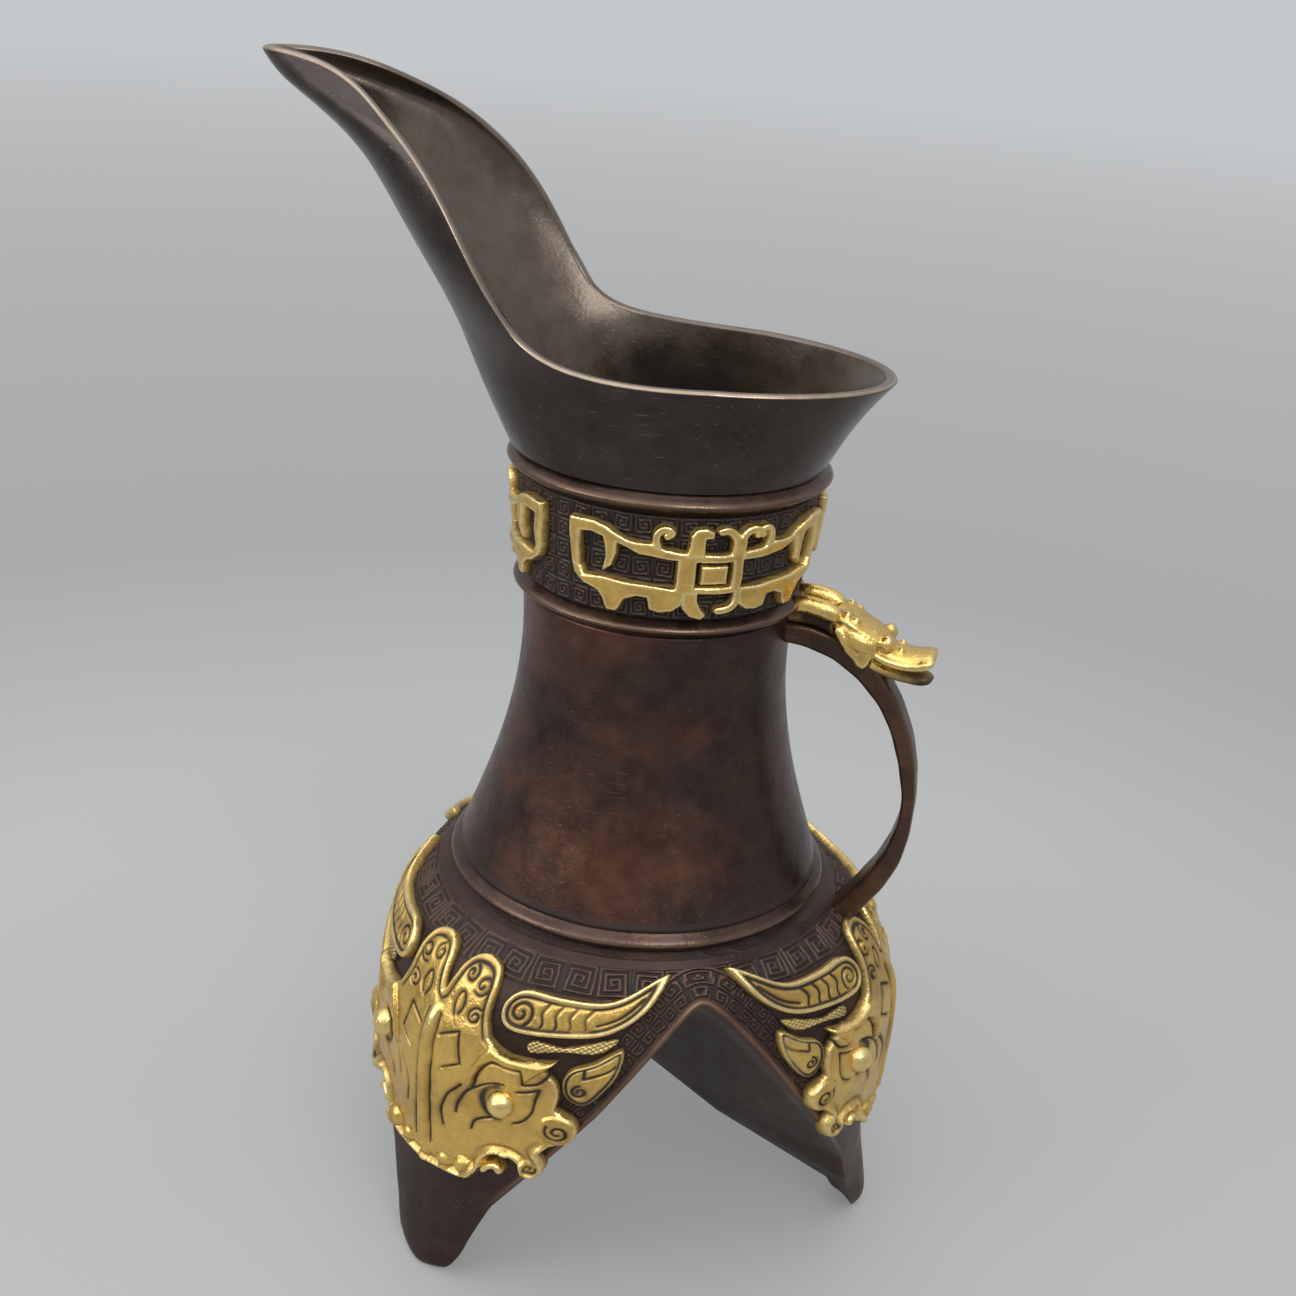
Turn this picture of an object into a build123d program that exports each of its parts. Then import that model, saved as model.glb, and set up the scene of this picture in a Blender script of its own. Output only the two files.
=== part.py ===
from build123d import *
import os
from math import cos, degrees, hypot, pi, radians, sin

# Driving dimensions, in millimetres. Heights are above the floor unless a name says otherwise,
# and the vessel's own axis is x = 0, y = 0, with the handle towards +X and the spout towards -X.

# Walls and joints
WALL = 2.3
RIM_WALL = 2.0
SEAT_STEP = 0.4
MOUNT_THICKNESS = 1.7
MOUNT_GAP = 0.12
REACH = 90.0
POINTS_AROUND_BODY = 12
POINTS_AROUND_MOUTH = 32

# Stack of castings, from the legs up
SHOULDER_HEIGHT = 66.0
BARREL_LENGTH = 52.0
BAND_LENGTH = 21.0

# Pouch legs: the bulge of one leg, from the shoulder down to the foot
LEG_COUNT = 3
SHOULDER_RADIUS = 34.2
CROWN_RADIUS = 42.2
CROWN_DROP = 7.5
BULGE_RADIUS = 45.4
BULGE_DROP = 14.5
BELLY_RADIUS = 46.4
BELLY_HEIGHT = 29.0
ANKLE_RADIUS = 47.4
ANKLE_HEIGHT = 11.0
FOOT_RADIUS = 50.2
VALLEY_DEPTH = 3.4
FOOT_SOLID = 11.0
VAULT_WALL = 4.1

# Arches between the legs: a pointed tunnel that rises from the middle of the vault outwards
VAULT_HEIGHT = 23.0
ARCH_DROP = 6.0
ARCH_RADIUS = 41.0
ARCH_TIP_ROUND = 4.0
ARCH_KNEE_WIDTH = 17.5
ARCH_KNEE_DROP = 20.2
ARCH_SKIRT_DROP = 40.0
ARCH_SKIRT_INSET = 4.3
ARCH_FOOT_DROP = 52.0
TOE_HALF_WIDTH = 2.6

# Barrel
BARREL_FOOT_RADIUS = 32.0
BARREL_FLARE_RADIUS = 26.9
BARREL_FLARE_RISE = 16.5
WAIST_RADIUS = 22.6
WAIST_RISE = 42.0
BARREL_TOP_RADIUS = 22.9

# Neck band
BAND_FOOT_RADIUS = 23.6
BAND_TOP_RADIUS = 25.0

# Half-round beads over the three joints
SHOULDER_BEAD_HEIGHT = 3.8
SHOULDER_BEAD_PROUD = 1.7
BAND_BEAD_HEIGHT = 3.4
BAND_BEAD_PROUD = 2.2
MOUTH_BEAD_HEIGHT = 3.8
MOUTH_BEAD_PROUD = 2.1

# Mouth and spout; rises are above the joint with the neck band
RIM_RISE = 17.6
RIM_REACH = 35.0
MOUTH_HALF_WIDTH = 25.2
SPOUT_RISE = 57.6
SPOUT_REACH = 70.3

# Handle
HANDLE_REACH = 46.6
HANDLE_WIDTH = 7.0
HANDLE_NECK_THICKNESS = 3.6
HANDLE_THICKNESS = 3.2
HANDLE_FOOT_THICKNESS = 5.4
HANDLE_ROOT_DROP = 5.2

# Beast head on the handle
HEAD_LENGTH = 24.6
HEAD_WIDTH = 9.6
HEAD_HEIGHT = 8.6

# Eyes of the masks
EYE_RADIUS = 2.5
EYE_OUT = 14.2
EYE_DROP = 25.2
NOSE_PROUD = 1.7
NOSE_HALF_WIDTH = 1.6

# Worked out from the driving dimensions
BARREL_TOP = SHOULDER_HEIGHT + BARREL_LENGTH
BAND_TOP = BARREL_TOP + BAND_LENGTH
LEG_TOP = SHOULDER_HEIGHT - SHOULDER_BEAD_HEIGHT / 2
SHOULDER_SEAT = BARREL_FOOT_RADIUS - SEAT_STEP
BAND_SEAT = BARREL_TOP_RADIUS - SEAT_STEP
MOUTH_SEAT = BAND_TOP_RADIUS - SEAT_STEP
SECTOR = 2 * pi / LEG_COUNT
LEG_NAMES = {"handle_side": 0, "front": -120, "rear": 120}
MOTIF_NAMES = {"front": -60, "rear": 60, "spout": 180}


def ring_face(points):
    """Face inside a smooth closed curve through points at one height."""
    return Face(Wire(Edge.make_spline([Vector(*p) for p in points], periodic=True)))


def revolved(*corners):
    """Solid of revolution of a closed outline of (radius, height) corners with straight sides."""
    return revolve(Plane.XZ * make_face(Polyline(*corners, close=True)), Axis.Z)


def tube(outer, inner):
    """Solid of revolution between two curves of (radius, height) points that share their end heights."""
    sides = [Spline(*outer), Line(outer[-1], inner[-1]), Spline(*inner), Line(inner[0], outer[0])]
    return revolve(Plane.XZ * make_face(sides), Axis.Z)


def cylinder(radius, low, high):
    return Pos(0, 0, (low + high) / 2) * Cylinder(radius, high - low)


def bead(seat, height, proud, centre):
    """Half-round ring that covers a joint."""
    low, high = (seat, centre - height / 2), (seat, centre + height / 2)
    back = EllipticalCenterArc((seat, centre), proud, height / 2, start_angle=-90, arc_size=180)
    return revolve(Plane.XZ * make_face([back, Line(high, low)]), Axis.Z)


# Pouch legs

# Height, radius and depth of the valley between two legs, from the foot up
LEG_PROFILE = [
    (0.0, FOOT_RADIUS, 0.0),
    (ANKLE_HEIGHT, ANKLE_RADIUS, VALLEY_DEPTH / 3),
    (BELLY_HEIGHT, BELLY_RADIUS, VALLEY_DEPTH * 3 / 4),
    (SHOULDER_HEIGHT - BULGE_DROP, BULGE_RADIUS, VALLEY_DEPTH),
    (SHOULDER_HEIGHT - CROWN_DROP, CROWN_RADIUS, VALLEY_DEPTH * 3 / 4),
    (LEG_TOP, SHOULDER_RADIUS, 0.0),
]


def lobed_body(offset, lowest=0.0):
    """The three joined pouches as one filled solid, grown by offset along the profile's normal."""
    sections = []
    for index, (height, radius, valley) in enumerate(LEG_PROFILE):
        below = LEG_PROFILE[max(index - 1, 0)]
        above = LEG_PROFILE[min(index + 1, len(LEG_PROFILE) - 1)]
        rise, run = above[0] - below[0], above[1] - below[1]
        slant = hypot(rise, run)
        grown = radius + offset * rise / slant
        lifted = max(height - offset * run / slant, lowest) if index else lowest
        curve = []
        for step in range(POINTS_AROUND_BODY):
            turn = 2 * pi * step / POINTS_AROUND_BODY
            reach = grown - valley * (1 - cos(LEG_COUNT * turn)) / 2
            curve.append((reach * cos(turn), reach * sin(turn), lifted))
        sections.append(ring_face(curve))
    return loft(sections)


def arch_tunnel(lift):
    """Pointed tunnel between two legs, along +X, rising outwards; lift raises its roof."""
    slope = (SHOULDER_HEIGHT - ARCH_DROP - VAULT_HEIGHT) / ARCH_RADIUS
    skirt = FOOT_RADIUS * sin(SECTOR / 2) - TOE_HALF_WIDTH
    ankle = [
        (ARCH_KNEE_WIDTH, VAULT_HEIGHT - ARCH_KNEE_DROP),
        (skirt - ARCH_SKIRT_INSET, VAULT_HEIGHT - ARCH_SKIRT_DROP),
        (skirt, VAULT_HEIGHT - ARCH_FOOT_DROP),
        (skirt, -REACH),
    ]
    apex = (0.0, VAULT_HEIGHT + ARCH_TIP_ROUND / 2)
    other_ankle = [(-across, height) for across, height in reversed(ankle)]
    tip = FilletPolyline(other_ankle[-1], apex, ankle[0], radius=ARCH_TIP_ROUND)
    sides = [tip, Polyline(*ankle, *other_ankle)]
    mouth = Pos(0, 0, lift) * (Plane.YZ * make_face(sides))
    return extrude(mouth, amount=REACH, dir=(1, 0, slope))


def tunnels(lift):
    """The three tunnels, one between each pair of legs."""
    one = arch_tunnel(lift)
    return [Rot(0, 0, degrees(SECTOR) * (turn + 0.5)) * one for turn in range(LEG_COUNT)]


BODY = lobed_body(0.0)
COLLAR = cylinder(SHOULDER_SEAT, LEG_TOP, SHOULDER_HEIGHT)


def make_leg():
    """One of three hollow pouch legs, a third of the lower body."""
    hollow = lobed_body(-WALL) & cylinder(REACH, FOOT_SOLID, LEG_TOP - WALL)
    hollow = hollow - tunnels(VAULT_WALL)
    hollow = hollow + cylinder(SHOULDER_SEAT - WALL, LEG_TOP - 2 * WALL, SHOULDER_HEIGHT + WALL)
    far = REACH * sin(SECTOR / 2)
    wedge = Polyline((0, 0), (REACH / 2, far), (REACH, 0), (REACH / 2, -far), close=True)
    third = extrude(make_face(wedge), REACH)
    return ((BODY + COLLAR) & third) - tunnels(0.0) - hollow


# Barrel, band and beads


def make_barrel(filled=False):
    """Waisted barrel; filled gives its outer envelope."""
    low = SHOULDER_HEIGHT + SHOULDER_BEAD_HEIGHT / 2
    high = BARREL_TOP - BAND_BEAD_HEIGHT / 2
    outer = [
        (BARREL_FOOT_RADIUS, low),
        (BARREL_FLARE_RADIUS, SHOULDER_HEIGHT + BARREL_FLARE_RISE),
        (WAIST_RADIUS, SHOULDER_HEIGHT + WAIST_RISE),
        (BARREL_TOP_RADIUS, high),
    ]
    if filled:
        sides = [Spline(*outer), Polyline(outer[-1], (0, high), (0, low), outer[0])]
        return revolve(Plane.XZ * make_face(sides), Axis.Z)
    inner = [(radius - WALL, height) for radius, height in outer]
    foot_bore, head_bore = BARREL_FOOT_RADIUS - WALL, BARREL_TOP_RADIUS - WALL
    foot = cylinder(SHOULDER_SEAT, SHOULDER_HEIGHT, low) - cylinder(foot_bore, SHOULDER_HEIGHT, low)
    head = cylinder(BAND_SEAT, high, BARREL_TOP) - cylinder(head_bore, high, BARREL_TOP)
    return tube(outer, inner) + foot + head


def make_band():
    """Short conical tube that carries the ornament band."""
    low = BARREL_TOP + BAND_BEAD_HEIGHT / 2
    high = BAND_TOP - MOUTH_BEAD_HEIGHT / 2
    foot_bore = BARREL_TOP_RADIUS - WALL
    head_bore = BAND_TOP_RADIUS - WALL
    return revolved(
        (foot_bore, BARREL_TOP), (BAND_SEAT, BARREL_TOP), (BAND_SEAT, low), (BAND_FOOT_RADIUS, low),
        (BAND_TOP_RADIUS, high), (MOUTH_SEAT, high), (MOUTH_SEAT, BAND_TOP), (head_bore, BAND_TOP),
    )


# Mouth and spout

# Rise above the joint, handle side, spout side, half width and where along X the widest point lies
MOUTH_LOW = MOUTH_BEAD_HEIGHT / 2
SPOUT_KEEL = [
    (MOUTH_LOW, BAND_TOP_RADIUS + 0.5, BAND_TOP_RADIUS + 1.5, BAND_TOP_RADIUS + 0.3, 0.5),
    (RIM_RISE / 2, RIM_REACH - 6.1, RIM_REACH - 4.4, MOUTH_HALF_WIDTH - 0.6, 1.5),
    (RIM_RISE, RIM_REACH, RIM_REACH - 0.2, MOUTH_HALF_WIDTH, 4.0),
    (SPOUT_RISE - 33.0, RIM_REACH + 5.0, SPOUT_REACH - 32.2, MOUTH_HALF_WIDTH + 1.0, 12.0),
    (SPOUT_RISE - 25.8, RIM_REACH + 5.0, SPOUT_REACH - 27.7, MOUTH_HALF_WIDTH + 0.4, 21.0),
    (SPOUT_RISE - 18.2, RIM_REACH, SPOUT_REACH - 22.4, MOUTH_HALF_WIDTH - 1.4, 28.0),
    (SPOUT_RISE - 11.6, RIM_REACH - 10.0, SPOUT_REACH - 16.5, MOUTH_HALF_WIDTH - 4.4, 34.5),
    (SPOUT_RISE - 6.8, RIM_REACH - 20.0, SPOUT_REACH - 9.3, MOUTH_HALF_WIDTH - 8.0, 41.0),
    (SPOUT_RISE - 3.2, RIM_REACH - 30.0, SPOUT_REACH - 2.8, MOUTH_HALF_WIDTH - 13.0, 47.0),
    (SPOUT_RISE + 1.0, RIM_REACH - 40.0, SPOUT_REACH + 1.4, MOUTH_HALF_WIDTH - 18.5, 54.0),
]


def mouth_solid(wall):
    """Filled mouth and spout, with its surface moved in by wall."""
    sections = []
    for index, (rise, handle_side, spout_side, half_width, widest) in enumerate(SPOUT_KEEL):
        below = SPOUT_KEEL[max(index - 1, 0)]
        above = SPOUT_KEEL[min(index + 1, len(SPOUT_KEEL) - 1)]
        step_up = above[0] - below[0]
        keel_wall = wall * hypot(step_up, above[2] - below[2]) / step_up
        curve = []
        for step in range(POINTS_AROUND_MOUTH):
            turn = 2 * pi * step / POINTS_AROUND_MOUTH
            long_side = spout_side - keel_wall - widest if cos(turn) < 0 else handle_side - wall + widest
            curve.append((long_side * cos(turn) - widest, (half_width - wall) * sin(turn), BAND_TOP + rise))
        sections.append(ring_face(curve))
    return loft(sections)


def above_rim():
    """Everything above the rim line as seen from the side."""
    level = BAND_TOP + RIM_RISE
    tip = BAND_TOP + SPOUT_RISE
    back = SPOUT_REACH + RIM_REACH
    lip = [
        (-SPOUT_REACH + 62.0, level + 0.2),
        (-SPOUT_REACH + 51.0, level + 3.4),
        (-SPOUT_REACH + 45.3, tip - 29.8),
        (-SPOUT_REACH + 36.3, tip - 16.2),
        (-SPOUT_REACH + 24.3, tip - 5.9),
        (-SPOUT_REACH + 12.3, tip - 0.9),
        (-SPOUT_REACH - 4.0, tip),
    ]
    outline = [
        Line((back, level), lip[0]), Spline(*lip),
        Polyline(lip[-1], (-back, tip), (-back, tip + REACH), (back, tip + REACH), (back, level)),
    ]
    return extrude(Plane.XZ * make_face(outline), amount=REACH, both=True)


def make_mouth():
    """Flared mouth drawn out into a long upswept spout."""
    low = BAND_TOP + MOUTH_LOW
    bore = BAND_TOP_RADIUS - WALL
    collar = cylinder(MOUTH_SEAT, BAND_TOP, low) - cylinder(bore, BAND_TOP, low)
    return mouth_solid(0.0) - mouth_solid(RIM_WALL) - above_rim() + collar


# Handle and beast head


def make_handle():
    """Bent strap from the neck down to the shoulder of the handle-side leg."""
    root = BARREL_TOP - HANDLE_ROOT_DROP
    out = HANDLE_REACH
    half = HANDLE_THICKNESS / 2
    inner = [
        (0.0, root - HANDLE_NECK_THICKNESS / 2), (WAIST_RADIUS - 4.0, root - HANDLE_NECK_THICKNESS / 2),
        (out - 17.6, root - HANDLE_NECK_THICKNESS / 2 - 1.4),
        (out - 10.6, root - 7.5), (out - 2.4, BARREL_TOP - 29.0), (out - half, SHOULDER_HEIGHT + 18.5),
        (out - 3.2, SHOULDER_HEIGHT + 11.0), (out - 8.3, SHOULDER_HEIGHT + 1.8),
        (out - 18.0, SHOULDER_HEIGHT - 12.0),
    ]
    outer = [
        (0.0, root + HANDLE_NECK_THICKNESS / 2), (out - 19.0, root + HANDLE_NECK_THICKNESS / 2 - 0.4),
        (out - 9.4, root - 3.0), (out - 2.4 + HANDLE_THICKNESS, BARREL_TOP - 26.5),
        (out + half, SHOULDER_HEIGHT + 16.5), (out + 0.6, SHOULDER_HEIGHT + 5.2),
        (out - 8.3 + HANDLE_FOOT_THICKNESS * 0.75, SHOULDER_HEIGHT - 4.0),
        (out - 12.0, SHOULDER_HEIGHT - 16.0),
    ]
    side = make_face([Spline(*inner), Line(inner[-1], outer[-1]), Spline(*outer), Line(outer[0], inner[0])])
    return extrude(Plane.XZ * side, amount=HANDLE_WIDTH / 2, both=True)


def make_head():
    """Beast head and neck that lie along the top of the handle."""
    start = BAND_TOP_RADIUS - 6.0
    top = BARREL_TOP + 2.6
    # Distance out from the root, height of the back, depth and width
    stations = [
        (0.0, 0.0, HEAD_HEIGHT * 0.75, HEAD_WIDTH * 0.8),
        (0.40, -0.6, HEAD_HEIGHT * 0.9, HEAD_WIDTH * 0.85),
        (0.62, -3.4, HEAD_HEIGHT, HEAD_WIDTH),
        (0.80, -6.6, HEAD_HEIGHT, HEAD_WIDTH * 0.9),
        (1.0, -8.8, HEAD_HEIGHT * 0.62, HEAD_WIDTH * 0.62),
    ]
    length = HEAD_LENGTH + BAND_TOP_RADIUS - start
    sections = []
    for along, drop, depth, width in stations:
        plane = Plane((start + length * along, 0, top + drop - depth / 2), x_dir=(0, 1, 0), z_dir=(1, 0, 0))
        sections.append(plane * Ellipse(width / 2, depth / 2))
    return loft(sections)


# Gilt masks on the legs; outlines are (across from the nose, height against the shoulder), right half

FACE_RUNS = [
    [(0.0, -11.0), (0.9, -9.0), (1.9, -6.8)],
    [(1.9, -6.8), (3.6, -5.2), (6.4, -4.6), (9.0, -5.4), (10.0, -7.6), (9.9, -10.6), (10.8, -14.8)],
    [(10.8, -14.8), (13.5, -16.3), (17.5, -16.4), (21.4, -15.8)],
    [(21.4, -15.8), (20.0, -17.8)],
    [(20.0, -17.8), (21.9, -20.0), (22.0, -24.5)],
    [(22.0, -24.5), (24.8, -26.4), (24.6, -29.6), (21.6, -31.8)],
    [(21.6, -31.8), (20.2, -33.6)],
    [(20.2, -33.6), (21.2, -35.8), (19.4, -38.8), (17.2, -38.4)],
    [(17.2, -38.4), (16.6, -35.9), (13.6, -35.8), (11.4, -39.6)],
    [(11.4, -39.6), (9.4, -42.8), (5.5, -43.7), (0.0, -44.4)],
]
HORN_CURVE = [
    (11.0, -9.6), (12.2, -7.2), (16.6, -6.5), (22.0, -6.6), (26.0, -5.5), (28.6, -3.2),
    (29.4, -5.4), (28.8, -8.4), (26.2, -11.0), (21.4, -12.2), (15.4, -12.8), (12.2, -12.2),
]
EAR_CURVE = [
    (23.0, -17.0), (25.4, -15.6), (28.2, -13.2), (28.6, -17.0), (27.4, -20.4), (25.0, -23.2), (23.2, -22.4),
]


def radial_prism(face):
    """Prism along +X through a face drawn in (across, height against the shoulder)."""
    seated = Pos(0, 0, SHOULDER_HEIGHT) * (Plane.YZ * face)
    return extrude(seated, amount=REACH, dir=(1, 0, 0))


def run_edge(points):
    return Line(*points) if len(points) == 2 else Spline(*points)


def mirrored(points):
    return [(-across, height) for across, height in reversed(points)]


MOUNT_BED = lobed_body(MOUNT_GAP)
MOUNT_SHELL = lobed_body(MOUNT_THICKNESS) - MOUNT_BED


def leg_radius(height):
    """Radius of the middle of a leg at one height, between the two nearest stations of its profile."""
    for (low, start, _), (high, stop, _) in zip(LEG_PROFILE, LEG_PROFILE[1:]):
        if low <= height <= high:
            return start + (stop - start) * (height - low) / (high - low)


def make_face_plate():
    """Mask plate with forehead lobes, brows, cheeks, a raised nose and holes for the eyes."""
    runs = FACE_RUNS + [mirrored(run) for run in reversed(FACE_RUNS)]
    outline = make_face([run_edge(run) for run in runs])
    for side in (1, -1):
        outline = outline - Pos(side * EYE_OUT, -EYE_DROP) * Circle(EYE_RADIUS + MOUNT_GAP)
    plate = MOUNT_SHELL & radial_prism(outline)
    ridge_shell = lobed_body(MOUNT_THICKNESS + NOSE_PROUD) - lobed_body(MOUNT_THICKNESS / 2)
    low, high = FACE_RUNS[-1][-1][1] + NOSE_HALF_WIDTH, FACE_RUNS[0][0][1] - NOSE_HALF_WIDTH
    strip = Pos(0, (low + high) / 2) * SlotOverall(high - low, 2 * NOSE_HALF_WIDTH, rotation=90)
    return (plate + (ridge_shell & radial_prism(strip))).solid()


def make_closed_mount(curve):
    """Gilt mount whose outline is one smooth closed curve."""
    outline = Face(Wire(Edge.make_spline([Vector(*point) for point in curve], periodic=True)))
    return MOUNT_SHELL & radial_prism(outline)


def make_eyes():
    """Pair of round eye bosses set through the mask plate."""
    height = SHOULDER_HEIGHT - EYE_DROP
    depth = ((leg_radius(height) + MOUNT_THICKNESS) ** 2 - EYE_OUT**2) ** 0.5
    balls = [Pos(depth, side * EYE_OUT, height) * Sphere(EYE_RADIUS) for side in (1, -1)]
    return [(ball - MOUNT_BED).solid() for ball in balls]


# Gilt motif on the neck band; outlines are (arc along the band, height above the joint), right half

MOTIF_BARS = [
    [(0.0, 3.2), (4.2, 3.2), (4.2, 17.2), (2.6, 17.2), (2.6, 12.2), (0.0, 12.2)],
    [
        (3.6, 11.0), (9.0, 11.6), (15.6, 15.4), (21.2, 16.4),
        (21.2, 14.4), (16.4, 13.4), (10.6, 9.8), (3.6, 9.0),
    ],
    [(19.2, 15.6), (21.2, 16.4), (21.2, 4.6), (19.2, 5.2)],
    [(14.0, 12.4), (16.0, 13.2), (16.4, 8.0), (14.8, 6.8)],
    [
        (3.6, 6.4), (19.6, 6.0), (21.2, 4.6), (16.6, 3.6), (15.4, 1.8),
        (14.2, 3.4), (10.2, 4.4), (8.6, 2.6), (6.8, 2.8), (3.6, 4.2),
    ],
    [(6.6, 9.8), (9.0, 10.6), (9.4, 14.4), (8.0, 15.2), (7.0, 13.0)],
]


def make_motif():
    """Paired dragon strapwork, one casting, bent round the band; centred on +X."""
    low = BARREL_TOP + BAND_BEAD_HEIGHT / 2
    high = BAND_TOP - MOUTH_BEAD_HEIGHT / 2
    ground = [(0, low), (BAND_FOOT_RADIUS, low), (BAND_TOP_RADIUS, high), (0, high)]
    proud = [(radius + (MOUNT_THICKNESS if radius else 0.0), height) for radius, height in ground]
    shell = revolved(*proud) - revolved(*ground)
    radius = (BAND_FOOT_RADIUS + BAND_TOP_RADIUS) / 2
    drawing = Sketch()
    for bar in MOTIF_BARS:
        for side in (1, -1):
            corners = [(side * radius * sin(arc / radius), BARREL_TOP + rise) for arc, rise in bar]
            drawing = drawing + make_face(Polyline(*corners, close=True))
    return shell & extrude(Plane.YZ * drawing, amount=REACH, dir=(1, 0, 0))


# Assembly

nodes = {
    "mouth_spout": make_mouth(),
    "mouth_bead": bead(MOUTH_SEAT, MOUTH_BEAD_HEIGHT, MOUTH_BEAD_PROUD, BAND_TOP),
    "neck_band": make_band(),
    "band_bead": bead(BAND_SEAT, BAND_BEAD_HEIGHT, BAND_BEAD_PROUD, BARREL_TOP),
    "barrel": make_barrel(),
    "shoulder_bead": bead(SHOULDER_SEAT, SHOULDER_BEAD_HEIGHT, SHOULDER_BEAD_PROUD, SHOULDER_HEIGHT),
}
leg = make_leg()
for name, turn in LEG_NAMES.items():
    nodes["leg_" + name] = Rot(0, 0, turn) * leg

neck_core = cylinder(BAND_SEAT, BARREL_TOP - BAND_BEAD_HEIGHT, BAND_TOP)
neck_parts = [make_barrel(filled=True), nodes["band_bead"], nodes["neck_band"], neck_core]
strap = make_handle() - neck_parts - BODY - nodes["shoulder_bead"]
head = make_head() - neck_parts - strap
nodes["handle_strap"] = strap
nodes["dragon_head"] = head

motif = make_motif()
for name, turn in MOTIF_NAMES.items():
    nodes["band_motif_" + name] = (Rot(0, 0, turn) * motif) - head

face_plate = make_face_plate()
horn = make_closed_mount(HORN_CURVE)
ear = make_closed_mount(EAR_CURVE)
eyes = make_eyes()
for name, turn in LEG_NAMES.items():
    spin = Rot(0, 0, turn)
    nodes["mask_face_" + name] = spin * face_plate if turn else (face_plate - strap).solid()
    nodes["mask_eyes_" + name] = Compound([spin * eye for eye in eyes])
    for side, flip in (("left", False), ("right", True)):
        for label, shape in (("horn", horn), ("ear", ear)):
            sided = mirror(shape, about=Plane.XZ) if flip else shape
            nodes["mask_" + label + "_" + side + "_" + name] = spin * sided

# The origin goes under the middle of the vessel's overall box
whole = Compound([shape for shape in nodes.values()]).bounding_box()
to_origin = Pos(-(whole.min.X + whole.max.X) / 2, 0, -whole.min.Z)
os.makedirs("parts", exist_ok=True)
for name, shape in nodes.items():
    export_step(to_origin * shape, "parts/" + name + ".step")
print("moved by", to_origin.position, "overall", whole.size)
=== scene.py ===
from math import cos, pi, radians, sin
import bmesh
import bpy
import numpy as np
from mathutils import Matrix, Vector


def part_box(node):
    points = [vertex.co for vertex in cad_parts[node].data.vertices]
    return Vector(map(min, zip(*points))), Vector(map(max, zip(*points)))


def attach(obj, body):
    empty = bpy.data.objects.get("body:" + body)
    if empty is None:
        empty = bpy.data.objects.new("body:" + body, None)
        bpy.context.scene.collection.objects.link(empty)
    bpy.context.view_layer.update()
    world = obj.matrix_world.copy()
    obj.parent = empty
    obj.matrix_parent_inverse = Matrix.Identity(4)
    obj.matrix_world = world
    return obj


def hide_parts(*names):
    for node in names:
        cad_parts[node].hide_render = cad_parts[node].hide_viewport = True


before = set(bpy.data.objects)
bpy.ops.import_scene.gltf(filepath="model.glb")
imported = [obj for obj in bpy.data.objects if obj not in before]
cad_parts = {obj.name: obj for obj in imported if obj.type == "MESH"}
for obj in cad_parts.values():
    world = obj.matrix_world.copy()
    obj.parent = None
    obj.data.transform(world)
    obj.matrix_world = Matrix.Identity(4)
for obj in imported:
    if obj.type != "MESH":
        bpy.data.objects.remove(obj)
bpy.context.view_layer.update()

# Pouch legs
# Three hollow legs cast in dark bronze, each a third of the lower body, meeting along pointed arches.
# Fine squared spirals are cut into the shoulder and along the arch edges; the undersides are left smooth and
# darkened with painted shade.

# Lengths are in millimetres unless a comment says metres
MM = 0.001
TINY = 1e-9
# Points closer than this become one
WELD = 0.002
AXIS_X = sum(corner.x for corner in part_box("barrel")) / 2 / MM
SHOULDER = 66.0
LEG_TOP = 64.1
COLLAR_RADIUS = 31.6
WALL = 2.3
FOOT_SOLID = 11.0
VAULT_WALL = 4.1
CEILING_GAP = 0.1
# Height, radius on the middle of a leg, and depth of the valley between two legs
LEG_STATIONS = [
    (0.0, 50.2, 0.0), (11.0, 47.4, 1.1), (29.0, 46.4, 2.55),
    (51.5, 45.4, 3.4), (58.5, 42.2, 2.55), (LEG_TOP, 34.2, 0.0),
]
PROFILE_STEPS = 400
# Half width and height of the arch where it starts in the middle of the vault
ARCH_SIDE = [(17.5, 2.8), (36.6, -17.0), (40.87, -29.0), (41.2, -90.0)]
ARCH_APEX = 25.0
ARCH_TIP = 1.6
ARCH_SLOPE = 0.9024
ARCH_STEPS, KEEL_STEPS = 700, 500
LEG_TURNS = {"handle_side": 0.0, "front": -120.0, "rear": 120.0}
LEG_COUNT = len(LEG_TURNS)
SIXTH = pi / LEG_COUNT
LEG_COLUMNS, LEG_ROWS, SOFFIT_ROWS, INSIDE_ROWS, ROOF_ROWS = 210, 250, 16, 22, 8
# Squared spirals round the shoulder and in two finer rows along the arch: cell, margin, turns and soft edge
RING_CELL, RING_MARGIN, RING_COILS, RING_FADE = 6.34, 1.9, 3.0, 0.3
EDGE_CELL, EDGE_MARGIN, EDGE_COILS, EDGE_FADE = 2.5, 1.1, 2.0, 0.2
EDGE_REACH = EDGE_MARGIN + 2 * EDGE_CELL
# Depth under the shoulder where the ring's cells are measured, and its distance from the finer rows
RING_DROP, RING_CLEAR = 8, 0.6
SPIRAL_DEPTH, SPIRAL_RUB = 0.34, 0.16
# Raised lip beside the arch: its place, breadth, height and wear
LIP_PLACE, LIP_BREADTH, LIP_PROUD, LIP_RUB = 0.5, 0.42, 0.28, 0.5
# Height above the floor where the finer rows and the lip set in, and over what rise
EDGE_START, EDGE_RISE = 33, 4
LIP_START, LIP_RISE = 16, 10
FLOOR_GAP = 0.05
# Painted shade on the soffit under the arches, and a darker inside of the hollow legs
SOFFIT_SHADE, INSIDE_DARKENING = 0.45, 0.6
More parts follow.
